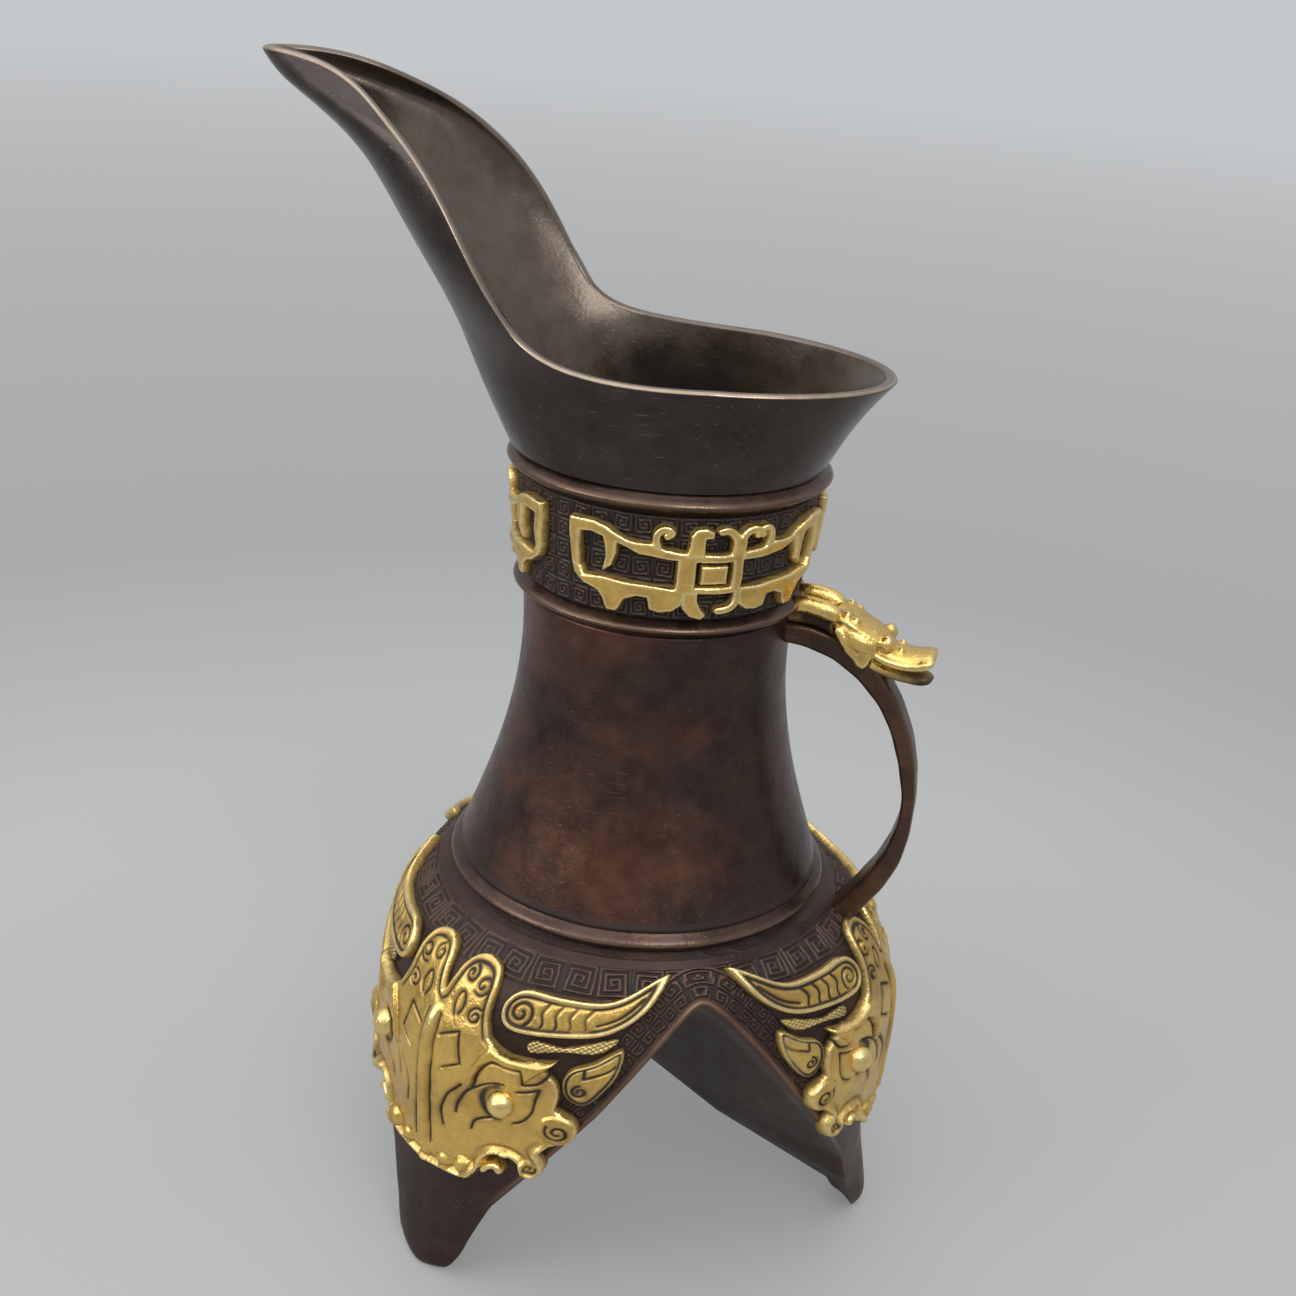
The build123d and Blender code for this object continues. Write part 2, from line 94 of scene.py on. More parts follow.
# The cast foot is rounded where it stands: height, half width and share of its depth
FOOT_TAPER = [(0.0, 1.4, 0.6), (0.25, 3.0, 0.72), (0.7, 4.4, 0.83), (1.5, 5.6, 0.93), (3.0, 6.9, 0.99),
              (5.5, 8.2, 1.0), (9.0, 9.4, 1.0), (13.0, 10.9, 1.0), (17.0, 12.33, 1.0)]
FOOT_MIDDLE = 47.4
# How far the foot is drawn in at the floor and at its sides, and up to what height
FOOT_DRAWN_IN, DRAWN_HEIGHT = 0.35, 9
FOOT_ROUNDING, ROUNDING_HEIGHT = 1.3, 10


def smooth_curve(points, count, closed=False):
    """Points spread evenly along a natural cubic spline through the given ones."""
    points = np.array(points, float)
    if closed:
        wrap = 4
        around = np.vstack([points[-wrap:], points, points[:wrap + 1]])
        return spline_between(around, wrap, wrap + len(points), count, False)
    return spline_between(points, 0, len(points) - 1, count, True)


def spline_between(points, first, last, count, with_end):
    """Samples of the spline through points, from the first to the last of the two given knots."""
    steps = np.linalg.norm(np.diff(points[:, :2], axis=0), axis=1)
    knots = np.concatenate([[0.0], np.cumsum(steps)])
    size = len(points)
    matrix = np.eye(size)
    right = np.zeros_like(points)
    for row in range(1, size - 1):
        before, after = steps[row - 1], steps[row]
        matrix[row, row - 1:row + 2] = before, 2 * (before + after), after
        right[row] = 6 * ((points[row + 1] - points[row]) / after - (points[row] - points[row - 1]) / before)
    bend = np.linalg.solve(matrix, right)
    place = np.linspace(knots[first], knots[last], count, endpoint=with_end)
    low = np.clip(np.searchsorted(knots, place, side="right") - 1, 0, size - 2)
    gap = steps[low][:, None]
    ahead = (place - knots[low])[:, None] / gap
    back = 1 - ahead
    curve = back * points[low] + ahead * points[low + 1]
    return curve + ((back**3 - back) * bend[low] + (ahead**3 - ahead) * bend[low + 1]) * gap**2 / 6


def grid_faces(rows, columns, closed=False):
    """Quads of a grid of points stored row by row; closed joins the last column to the first."""
    index = np.arange(rows * columns).reshape(rows, columns)
    if closed:
        index = np.hstack([index, index[:, :1]])
    corners = [index[:-1, :-1], index[:-1, 1:], index[1:, 1:], index[1:, :-1]]
    return np.stack(corners, axis=-1).reshape(-1, 4)


def normals_of(points):
    """Unit normals of a grid of points (rows, columns, 3)."""
    normal = np.cross(np.gradient(points, axis=1), np.gradient(points, axis=0))
    return normal / np.maximum(np.linalg.norm(normal, axis=-1, keepdims=True), TINY)


def ramp(value, start, length):
    """Even change from 0 to 1 that sets in at start and takes the given length."""
    return np.clip((value - start) / length, 0, 1)


def within(value, low, high, fade):
    """1 between two values, with a soft edge inside each of them, and 0 outside."""
    return ramp(value, low, fade) * ramp(-value, -high, fade)


def hump(distance, breadth):
    """Bell curve: 1 at no distance, falling off on both sides."""
    return np.exp(-((distance / breadth) ** 2))


def add_piece(name, points, faces, material, nodes, recess, rub, weld=0.0):
    """New mesh piece from points about the vessel's axis, riding on the vessel.

    Marks for recess and rub that are fewer than the points are repeated.
    """
    mesh = bpy.data.meshes.new(name)
    placed = (np.asarray(points, float).reshape(-1, 3) + (AXIS_X, 0.0, 0.0)) * MM
    mesh.from_pydata(placed.tolist(), [], [list(face) for face in faces])
    for label, values in (("recess", recess), ("rub", rub)):
        layer = mesh.attributes.new(label, "FLOAT", "POINT")
        layer.data.foreach_set("value", np.resize(np.asarray(values, np.float32), len(placed)))
    if weld:
        joined = bmesh.new()
        joined.from_mesh(mesh)
        bmesh.ops.remove_doubles(joined, verts=joined.verts, dist=weld * MM)
        bmesh.ops.recalc_face_normals(joined, faces=joined.faces)
        joined.to_mesh(mesh)
        joined.free()
    mesh.validate()
    mesh.shade_smooth()
    mesh.materials.append(material)
    piece = bpy.data.objects.new(name, mesh)
    bpy.context.scene.collection.objects.link(piece)
    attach(piece, "root")
    if nodes:
        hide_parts(*nodes)


def add_node(tree, kind, settings=(), **sockets):
    """New shader node; a socket's value is a constant or the output that feeds it."""
    made = tree.nodes.new(kind)
    for label, value in dict(settings).items():
        setattr(made, label, value)
    for label, value in sockets.items():
        feed(tree, made.inputs[label.replace("_", " ")], value)
    return made


def feed(tree, socket, value):
    """Link an output to a socket, or set the socket to a constant."""
    if isinstance(value, bpy.types.NodeSocket):
        tree.links.new(value, socket)
    else:
        socket.default_value = value


# Numbers of a colour mix node's sockets
MIX_FACTOR, MIX_FIRST, MIX_SECOND, MIX_RESULT = 0, 6, 7, 2


def mixed(tree, factor, first, second):
    """Colour between two others."""
    made = tree.nodes.new("ShaderNodeMix")
    made.data_type = "RGBA"
    for index, value in ((MIX_FACTOR, factor), (MIX_FIRST, first), (MIX_SECOND, second)):
        feed(tree, made.inputs[index], value)
    return made.outputs[MIX_RESULT]


def reckon(tree, operation, first, second=0.0):
    """Result of one sum, product or the like."""
    made = tree.nodes.new("ShaderNodeMath")
    made.operation = operation
    feed(tree, made.inputs[0], first)
    feed(tree, made.inputs[1], second)
    return made.outputs[0]


def between(tree, value, low, high, bottom=0.0, top=1.0):
    """Value carried from the range low to high onto bottom to top, and held there."""
    made = add_node(tree, "ShaderNodeMapRange", Value=value)
    for index, number in enumerate((low, high, bottom, top), start=1):
        feed(tree, made.inputs[index], number)
    return made.outputs[0]


def effect(name, inputs, outputs):
    """Empty node group, the sockets that bring in its colours and numbers, and those for its results."""
    tree = bpy.data.node_groups.new(name, "ShaderNodeTree")
    for label, start in inputs:
        kind = "NodeSocketColor" if isinstance(start, tuple) else "NodeSocketFloat"
        tree.interface.new_socket(label, in_out="INPUT", socket_type=kind).default_value = start
    for label, kind in outputs:
        tree.interface.new_socket(label, in_out="OUTPUT", socket_type=kind)
    return tree, tree.nodes.new("NodeGroupInput").outputs, tree.nodes.new("NodeGroupOutput").inputs


def noise(tree, place, scale, detail, roughness=0.5):
    """Cloudy value between 0 and 1."""
    made = add_node(tree, "ShaderNodeTexNoise", Vector=place, Scale=scale, Detail=detail, Roughness=roughness)
    return made.outputs["Fac"]


# Height of a full bump, in metres
BUMP_HEIGHT = 0.0006
SKIN_OUTPUTS = [("Color", "NodeSocketColor"), ("Roughness", "NodeSocketFloat"),
                ("Metal", "NodeSocketFloat"), ("Height", "NodeSocketFloat")]


def finish_material(name, group, bump, constants=(), **skin_values):
    """Material with one shader, whose colour, roughness, metal and bump come from a node group."""
    material = bpy.data.materials.new(name)
    material.use_nodes = True
    tree = material.node_tree
    shader = tree.nodes["Principled BSDF"]
    skin = tree.nodes.new("ShaderNodeGroup")
    skin.node_tree = group
    for label, value in skin_values.items():
        feed(tree, skin.inputs[label], value)
    for label in ("Recess", "Rub"):
        mark = add_node(tree, "ShaderNodeAttribute", {"attribute_name": label.lower()})
        feed(tree, skin.inputs[label], mark.outputs["Fac"])
    raised = add_node(tree, "ShaderNodeBump", Height=skin.outputs["Height"], Strength=bump,
                      Distance=BUMP_HEIGHT)
    feed(tree, shader.inputs["Base Color"], skin.outputs["Color"])
    feed(tree, shader.inputs["Roughness"], skin.outputs["Roughness"])
    feed(tree, shader.inputs["Metallic"], skin.outputs["Metal"])
    feed(tree, shader.inputs["Normal"], raised.outputs["Normal"])
    for label, value in dict(constants).items():
        shader.inputs[label].default_value = value
    return material


def bronze_patina():
    """Dark brown chemical patina: cloudy warm patches, fine scratches, rubbed edges, recesses darkened by
    soot and painted shade.
    """
    tree, given, result = effect(
        "bronze_patina",
        [("Dark", (0.05, 0.03, 0.025, 1)), ("Warm", (0.12, 0.05, 0.03, 1)), ("Bare", (0.5, 0.33, 0.18, 1)),
         ("Warmth", 0.5), ("Gloss", 0.35), ("Recess", 0.0), ("Rub", 0.0)],
        SKIN_OUTPUTS)
    soot_and_shade_colour = (0.012, 0.009, 0.008, 1)
    scratch_bare, scratch_depth, grain_height = 0.22, 0.25, 0.35
    soot_and_shade_share, recess_rough, worn_smooth = 0.8, 0.3, 0.08
    clean_metal, soot_and_shade_metal = 0.75, 0.2
    middle_mottle = (0.3, 0.7)
    place = tree.nodes.new("ShaderNodeTexCoord").outputs["Object"]
    cloud = noise(tree, place, scale=42.0, detail=5.0, roughness=0.62)
    mottle = noise(tree, place, scale=210.0, detail=4.0, roughness=0.6)
    grain = noise(tree, place, scale=1500.0, detail=3.0, roughness=0.55)
    drawn = add_node(tree, "ShaderNodeMapping", Vector=place, Rotation=(0.5, 0.3, 0.7),
                     Scale=(180.0, 2600.0, 2600.0))
    scratched = between(tree, noise(tree, drawn.outputs[0], scale=1.0, detail=2.0), low=0.66, high=0.76)
    patch = between(tree, cloud, low=0.45, high=0.68)
    colour = mixed(tree, reckon(tree, "MULTIPLY", patch, given["Warmth"]), given["Dark"], given["Warm"])
    shade = between(tree, mottle, *middle_mottle, bottom=0.72, top=1.25)
    tone = add_node(tree, "ShaderNodeHueSaturation", Color=colour, Value=shade)
    uneven = between(tree, mottle, low=0.35, high=0.62, bottom=0.75, top=1.0)
    worn = reckon(tree, "MULTIPLY", given["Rub"], uneven)
    rubbed = mixed(tree, worn, tone.outputs[0], given["Bare"])
    lined = mixed(tree, reckon(tree, "MULTIPLY", scratched, scratch_bare), rubbed, given["Bare"])
    # Soot in the cuts and joints; where the same mark darkens the legs' undersides it is painted shade
    soot_and_shade = reckon(tree, "MULTIPLY", given["Recess"], soot_and_shade_share)
    feed(tree, result["Color"], mixed(tree, soot_and_shade, lined, soot_and_shade_colour))
    rough = reckon(tree, "ADD", given["Gloss"], between(tree, mottle, *middle_mottle, bottom=-0.07, top=0.09))
    rough = reckon(tree, "ADD", rough, reckon(tree, "MULTIPLY", given["Recess"], recess_rough))
    rough = reckon(tree, "SUBTRACT", rough, reckon(tree, "MULTIPLY", worn, worn_smooth))
    feed(tree, result["Roughness"], rough)
    feed(tree, result["Metal"], between(tree, given["Recess"], 0.0, 1.0, clean_metal, soot_and_shade_metal))
    height = reckon(tree, "ADD", reckon(tree, "MULTIPLY", grain, grain_height), mottle)
    height = reckon(tree, "SUBTRACT", height, reckon(tree, "MULTIPLY", scratched, scratch_depth))
    feed(tree, result["Height"], height)
    return tree


patina = bronze_patina()
leg_bronze = finish_material(
    "leg_bronze", patina, bump=0.25, Warmth=0.55, Gloss=0.4,
    Dark=(0.046, 0.028, 0.023, 1), Warm=(0.095, 0.045, 0.03, 1), Bare=(0.36, 0.21, 0.13, 1))

leg_profile = smooth_curve(LEG_STATIONS, PROFILE_STEPS)


def inset_profile(depth):
    """The leg's profile moved inwards along its own normal."""
    lean = np.gradient(leg_profile[:, :2], axis=0)
    lean /= np.linalg.norm(lean, axis=1, keepdims=True)
    moved = leg_profile.copy()
    moved[:, 0] += depth * lean[:, 1]
    moved[:, 1] -= depth * lean[:, 0]
    return moved


def pouch_radius(turn, height, shape=leg_profile):
    """Radius of the lobed body; turn is measured from the middle of a leg."""
    radius = np.interp(height, shape[:, 0], shape[:, 1])
    valley = np.interp(height, shape[:, 0], shape[:, 2])
    return radius - valley * (1 - np.cos(LEG_COUNT * turn)) / 2


def arch_height(width):
    """Height of the arch over the vault's middle, by distance from the arch's own middle plane."""
    crown_half, crown_foot = ARCH_SIDE[0]
    fall = (ARCH_APEX - crown_foot) / crown_half
    crown = ARCH_APEX - fall * np.hypot(width, ARCH_TIP)
    return np.where(width < crown_half, crown, np.interp(width, *zip(*ARCH_SIDE)))


def leg_column_ends(turns, shape, lift, floor, ceiling):
    """For each upright line on half a leg: where the arch cuts it, and where its soffit ends inside."""
    heights = np.linspace(floor, ceiling, ARCH_STEPS)
    radius = pouch_radius(turns[:, None], heights, shape)
    away = SIXTH - turns
    clear = heights - lift - arch_height(radius * np.sin(away)[:, None])
    clear -= ARCH_SLOPE * radius * np.cos(away)[:, None]
    under = clear < 0
    cut = under.any(axis=1)
    last = np.minimum(under.shape[1] - 1 - np.argmax(under[:, ::-1], axis=1), len(heights) - 2)
    each = np.arange(len(turns))
    before, after = clear[each, last], clear[each, last + 1]
    share = np.clip(before / np.where(before == after, 1, before - after), 0, 1)
    height = np.where(cut, heights[last] + share * (heights[1] - heights[0]), floor)
    width = pouch_radius(turns, height, shape) * np.sin(away)
    widths = np.linspace(0, ARCH_SIDE[2][0], KEEL_STEPS)
    keel = arch_height(widths) + lift + ARCH_SLOPE * widths / np.tan(SIXTH)
    toe = np.interp(-floor, -keel, widths)
    width = np.where(cut, width, toe)
    along = np.maximum(width / np.tan(SIXTH), (floor - lift - arch_height(width)) / ARCH_SLOPE)
    along = np.where(cut, along, toe / np.tan(SIXTH))
    ends = np.stack([along * cos(SIXTH) + width * sin(SIXTH), along * sin(SIXTH) - width * cos(SIXTH),
                     np.maximum(arch_height(width) + lift + ARCH_SLOPE * along, floor)], axis=1)
    return height, ends


def thunder(across, along, cell, coils):
    """Squared spirals in square cells: 0 in the cuts, 1 on the standing lines."""
    middle, sharpness, cell_end, cell_fade = 0.5, 1.1, 0.97, 0.06
    column, row = np.floor(across / cell), np.floor(along / cell)
    x, y = across / cell - column - middle, along / cell - row - middle
    x = np.where((column + row) % 2 == 0, x, -x)
    reach = 2 * np.maximum(np.abs(x), np.abs(y))
    wave = np.cos(2 * pi * (reach * coils - np.arctan2(y, x) / (2 * pi)))
    return np.clip(middle + sharpness * wave, 0, 1) * ramp(-reach, -cell_end, cell_fade)


def wall_rows(turns, low, high, rows, shape):
    """Points on the lobed wall in even steps along its profile, between two heights for each line."""
    lengths = np.concatenate([[0.0], np.cumsum(np.hypot(*np.diff(shape[:, :2], axis=0).T))])
    start, stop = np.interp(low, shape[:, 0], lengths), np.interp(high, shape[:, 0], lengths)
    run = start + np.linspace(0, 1, rows)[:, None] * (stop - start)
    height = np.interp(run, lengths, shape[:, 0])
    radius = pouch_radius(turns, height, shape)
    return np.stack([radius * np.cos(turns), radius * np.sin(turns), height], axis=-1), stop - run


def arch_offsets(points, edge):
    """Distance of grid points from the arch's edge line, and how far along that line they lie."""
    batch = 4000
    along = np.concatenate([[0.0], np.cumsum(np.linalg.norm(np.diff(edge, axis=0), axis=1))])
    flat = points.reshape(-1, 3)
    gap, place = np.empty(len(flat)), np.empty(len(flat))
    for start in range(0, len(flat), batch):
        part = flat[start:start + batch]
        apart = np.linalg.norm(part[:, None] - edge[None], axis=2)
        nearest = apart.argmin(axis=1)
        gap[start:start + batch] = apart[np.arange(len(part)), nearest]
        place[start:start + batch] = along[nearest]
    return gap.reshape(points.shape[:2]), place.reshape(points.shape[:2])


def rounded_foot(points, edge):
    """Leg points with the foot drawn to an even taper and rounded off towards the floor."""
    level, taper = points[..., 2], np.array(FOOT_TAPER)
    top = taper[-1, 0]
    edge_width = np.interp(level, edge[:, 2], edge[:, 1])
    width, depth = (np.interp(level, taper[:, 0], taper[:, column]) for column in (1, 2))
    depth = np.where(points[..., 0] > FOOT_MIDDLE, depth, (1 + depth) / 2)
    low = level < top
    side = points[..., 1] / edge_width
    drawn_in = FOOT_DRAWN_IN * np.clip(1 - level / DRAWN_HEIGHT, 0, 1) ** 2
    rounding = np.clip((top - level) / ROUNDING_HEIGHT, 0, 1)
    drawn_in = drawn_in + FOOT_ROUNDING * rounding * np.minimum(side**2, 1)
    out = FOOT_MIDDLE + (points[..., 0] - FOOT_MIDDLE) * depth - drawn_in
    moved = points.copy()
    moved[..., 0] = np.where(low, out, points[..., 0])
    moved[..., 1] = np.where(low, side * width, points[..., 1])
    return moved


def half_leg():
    """Half of one leg as a grid of points that runs from the keel out, up the wall and down inside."""
    turns = np.linspace(0, SIXTH, LEG_COLUMNS)
    cut, ends = leg_column_ends(turns, leg_profile, 0.0, 0.0, LEG_TOP)
    wall, from_top = wall_rows(turns, cut, np.full(LEG_COLUMNS, LEG_TOP), LEG_ROWS, leg_profile)
    arch_edge = wall[0][cut > FLOOR_GAP]
    gap, place = arch_offsets(wall, arch_edge)
    around = pouch_radius(0, SHOULDER - RING_DROP) * turns + 0 * from_top
    ring = thunder(around, from_top - RING_MARGIN, RING_CELL, RING_COILS)
    edge = thunder(place, gap - EDGE_MARGIN, EDGE_CELL, EDGE_COILS)
    on_ring = within(from_top, RING_MARGIN, RING_MARGIN + RING_CELL, RING_FADE)
    on_edge = within(gap, EDGE_MARGIN, EDGE_REACH, EDGE_FADE) * ramp(wall[..., 2], EDGE_START, EDGE_RISE)
    near_arch = ramp(-gap, -EDGE_REACH - RING_CLEAR, RING_FADE)
    cuts = (1 - ring) * on_ring * (1 - near_arch) + (1 - edge) * on_edge
    lip = hump(gap - LIP_PLACE, LIP_BREADTH) * ramp(wall[..., 2], LIP_START, LIP_RISE)
    wall = wall + normals_of(wall) * (LIP_PROUD * lip - SPIRAL_DEPTH * cuts)[..., None]
    wall[:, 0, 1] = 0.0
    soffit = ends + np.linspace(0, 1, SOFFIT_ROWS)[:-1, None, None] * (wall[0] - ends)
    inner = inset_profile(WALL)
    ceiling = LEG_TOP - WALL
    inner_cut, inner_ends = leg_column_ends(turns, inner, VAULT_WALL, FOOT_SOLID, ceiling - CEILING_GAP)
    inside, _ = wall_rows(turns, inner_cut, np.full(LEG_COLUMNS, ceiling), INSIDE_ROWS, inner)
    circle = np.stack([np.cos(turns), np.sin(turns), 0 * turns], axis=1)
    lift = np.array([0.0, 0.0, 1.0])
    bore = COLLAR_RADIUS - WALL
    collar = [radius * circle + height * lift for radius, height in (
        (COLLAR_RADIUS, LEG_TOP), (COLLAR_RADIUS, SHOULDER), (bore, SHOULDER), (bore, ceiling))]
    roof = inside[0] + np.linspace(0, 1, ROOF_ROWS)[1:, None, None] * (inner_ends - inside[0])
    points = np.concatenate([soffit, wall, np.array(collar), inside[::-1], roof])
    recess, rub = np.zeros(points.shape[:2]), np.zeros(points.shape[:2])
    outside = slice(SOFFIT_ROWS - 1, SOFFIT_ROWS - 1 + LEG_ROWS)
    recess[outside] = cuts
    # Painted shade on the soffit under the arches
    recess[:SOFFIT_ROWS - 2] = SOFFIT_SHADE
    # The inside of the hollow legs is made darker
    recess[-INSIDE_ROWS - ROOF_ROWS:] = INSIDE_DARKENING
    rub[outside] = LIP_RUB * lip + SPIRAL_RUB * (1 - cuts) * np.maximum(on_ring, on_edge)
    return rounded_foot(points, arch_edge), recess, rub


def turned_about_axis(points, degrees):
    """Points swung round the vessel's axis."""
    swing = radians(degrees)
    spin = np.array([[cos(swing), sin(swing), 0], [-sin(swing), cos(swing), 0], [0, 0, 1]])
    return np.asarray(points, float).reshape(-1, 3) @ spin


leg_half, leg_recess, leg_rub = half_leg()
half_faces = grid_faces(*leg_half.shape[:2])
leg_points = np.vstack([leg_half.reshape(-1, 3), leg_half.reshape(-1, 3) * (1, -1, 1)])
leg_faces = np.vstack([half_faces[:, ::-1], half_faces + leg_recess.size])
for leg_name, leg_turn in LEG_TURNS.items():
    add_piece("pouch_leg_" + leg_name, turned_about_axis(leg_points, leg_turn), leg_faces, leg_bronze,
              ["leg_" + leg_name], leg_recess, leg_rub, WELD)

# Shoulder bead, barrel and band bead
# The barrel is a waisted tube cast in dark bronze and soldered to the legs and the neck band.
# A half-round bronze bead covers each joint, filed by hand; its crest is rubbed to bare metal and lightened
# as a painted highlight.

BAND_FOOT = 118.0
BAND_HEAD = 139.0
# Radius of the seat, height of the middle, how far the bead stands proud, and how tall it is
BEADS = {
    "shoulder_bead": (31.6, SHOULDER, 1.7, 3.8),
    "band_bead": (22.5, BAND_FOOT, 2.2, 3.4),
    "mouth_bead": (24.6, BAND_HEAD, 2.1, 3.8),
}
BAND_FOOT_SEAT, BAND_HEAD_SEAT = BEADS["band_bead"][0], BEADS["mouth_bead"][0]
BEAD_STEPS, BEAD_SEGMENTS, BEAD_WAVER = 25, 360, 0.12
# How far the back of a bead lies behind its seat, and how much shorter it is at each end
BEAD_SUNK, BEAD_TRIM = 0.5, 0.3
# A bead's section: share of a broad swelling, share of a sharp one, and how sharp that is
BROAD_SHARE, SHARP_SHARE, SHARPNESS = 0.3, 0.7, 5
# Where along its section the bead is rubbed and lightened as a painted highlight, how broadly and how much
CREST_PLACE, CREST_BREADTH, CREST_RUB_AND_HIGHLIGHT = 0.12, 0.22, 0.75
BARREL_OUTSIDE = [(32.0, 67.9), (26.9, 82.5), (22.6, 108.0), (22.9, 116.3)]
BARREL_FOOT_BORE = 29.7
BARREL_HEAD_BORE = 20.6
BARREL_STEPS, BARREL_SEGMENTS, BARREL_WAVER = 90, 320, 0.1
# The bores inside and the hidden seats under the beads are made darker
BARREL_FOOT_ROWS, BARREL_FOOT_SOOT, BORE_DARKENING = slice(2, 5), 0.7, 0.5
# Unevenness of hand work: share, waves round the ring, and start of each wave
HAND_WAVES = [(1.0, 2, 0.6), (0.6, 5, 2.1), (0.4, 11, 0.9)]
WAVER_SHIFT, WAVER_RISE = 1.3, 0.7

bead_bronze = finish_material(
    "bead_bronze", patina, bump=0.25, Warmth=0.5, Gloss=0.3,
    Dark=(0.06, 0.036, 0.028, 1), Warm=(0.11, 0.055, 0.036, 1), Bare=(0.2, 0.125, 0.085, 1))
barrel_bronze = finish_material(
    "barrel_bronze", patina, bump=0.22, Warmth=0.9, Gloss=0.33,
    Dark=(0.05, 0.03, 0.024, 1), Warm=(0.14, 0.058, 0.033, 1), Bare=(0.34, 0.2, 0.13, 1))


def hand_waver(turn, size):
    """Slow unevenness of hand work round a ring."""
    return size * sum(share * np.sin(waves * turn + start) for share, waves, start in HAND_WAVES) / 2


def turned_ring(outline, segments, waver=0.0):
    """Closed ring of revolution from a closed outline of (radius, height) points."""
    outline = np.asarray(outline, float)
    turn = np.linspace(0, 2 * pi, segments, endpoint=False)
    radius = outline[:, :1] + hand_waver(turn, waver)
    height = outline[:, 1:] + hand_waver(turn + WAVER_SHIFT, waver * WAVER_RISE)
    points = np.stack([radius * np.cos(turn), radius * np.sin(turn), height], axis=-1)
    return np.concatenate([points, points[:1]])


def add_ring(name, ring, material, node, recess, rub):
    """Piece of dark bronze from a grid of points that closes round the vessel's axis."""
    faces = grid_faces(*ring.shape[:2], closed=True)[:, ::-1]
    add_piece(name, ring, faces, material, [node], recess, rub, WELD)


for bead_name, (seat, level, proud, tall) in BEADS.items():
    lean = np.linspace(-pi / 2, pi / 2, BEAD_STEPS)
    swell = BROAD_SHARE * np.cos(lean) + SHARP_SHARE * np.cos(lean) ** SHARPNESS
    crest = np.stack([seat + proud * swell, level + tall / 2 * np.sin(lean)], axis=1)
    back = [(seat - BEAD_SUNK, level + tall / 2 - BEAD_TRIM),
            (seat - BEAD_SUNK, level - tall / 2 + BEAD_TRIM)]
    ring = turned_ring(np.vstack([crest, back]), BEAD_SEGMENTS, BEAD_WAVER)
    rub = np.zeros(ring.shape[:2])
    # Rub along the upper crest: partly wear, partly a painted highlight
    rub[:BEAD_STEPS] = (hump(lean - CREST_PLACE, CREST_BREADTH) * CREST_RUB_AND_HIGHLIGHT)[:, None]
    add_ring(bead_name + "_ring", ring, bead_bronze, bead_name, 0.0, rub)

barrel_side = smooth_curve(BARREL_OUTSIDE, BARREL_STEPS)
barrel_outline = np.vstack([
    [(COLLAR_RADIUS, SHOULDER), (COLLAR_RADIUS, BARREL_OUTSIDE[0][1])], barrel_side,
    [(BAND_FOOT_SEAT, BARREL_OUTSIDE[-1][1]), (BAND_FOOT_SEAT, BAND_FOOT), (BARREL_HEAD_BORE, BAND_FOOT)],
    barrel_side[::-1] - (WALL, 0.0), [(BARREL_FOOT_BORE, SHOULDER)]])
barrel_ring = turned_ring(barrel_outline, BARREL_SEGMENTS, BARREL_WAVER)
barrel_recess = np.zeros(barrel_ring.shape[:2])
barrel_recess[BARREL_FOOT_ROWS] = BARREL_FOOT_SOOT
barrel_recess[-BARREL_STEPS:] = BORE_DARKENING
add_ring("waisted_barrel", barrel_ring, barrel_bronze, "barrel", barrel_recess, 0.0)

# Neck band
# A short conical tube between the two upper beads, its whole outside cut with rows of squared spirals
# that form the dark ground of the gilt dragons.

# How far the beads reach over the band's two ends
FOOT_COVER, HEAD_COVER = 1.7, 1.9
BAND_LOW, BAND_HIGH = BAND_FOOT + FOOT_COVER, BAND_HEAD - HEAD_COVER
BAND_LOW_RADIUS, BAND_HIGH_RADIUS = 23.6, 25.0
BAND_HEAD_BORE = 22.7
BAND_COLUMNS, BAND_ROWS = 900, 96
BAND_CELLS, BAND_COILS, BAND_CUT_DEPTH = 44, 2.6, 0.36
BAND_RUB = 0.22
band_bronze = finish_material(
    "band_bronze", patina, bump=0.25, Warmth=0.4, Gloss=0.42,
    Dark=(0.042, 0.028, 0.023, 1), Warm=(0.075, 0.04, 0.03, 1), Bare=(0.3, 0.22, 0.15, 1))


def band_radius(height):
    """Radius of the band's outside at a height."""
    return np.interp(height, (BAND_LOW, BAND_HIGH), (BAND_LOW_RADIUS, BAND_HIGH_RADIUS))


band_turn, band_level = np.meshgrid(np.linspace(0, 2 * pi, BAND_COLUMNS, endpoint=False),
                                    np.linspace(BAND_LOW, BAND_HIGH, BAND_ROWS))
band_cell = 2 * pi * (BAND_LOW_RADIUS + BAND_HIGH_RADIUS) / 2 / BAND_CELLS
band_arc = band_turn * band_cell * BAND_CELLS / (2 * pi)
band_cut = 1 - thunder(band_arc, band_level - BAND_LOW, band_cell, BAND_COILS)
band_depth = band_radius(band_level) - BAND_CUT_DEPTH * band_cut
band_wall = np.stack([band_depth * np.cos(band_turn), band_depth * np.sin(band_turn), band_level], axis=-1)
band_back = [(BAND_HEAD_SEAT, BAND_HIGH), (BAND_HEAD_SEAT, BAND_HEAD), (BAND_HEAD_BORE, BAND_HEAD),
             (BARREL_HEAD_BORE, BAND_FOOT), (BAND_FOOT_SEAT, BAND_FOOT), (BAND_FOOT_SEAT, BAND_LOW)]
band_rest = turned_ring(band_back, BAND_COLUMNS)[:-1]
band_points = np.concatenate([band_wall, band_rest, band_wall[:1]])
band_recess = np.full(band_points.shape[:2], BORE_DARKENING)
band_recess[:BAND_ROWS] = band_cut
band_recess[-1] = band_cut[0]
add_ring("thunder_band", band_points, band_bronze, "neck_band", band_recess, BAND_RUB * (1 - band_recess))

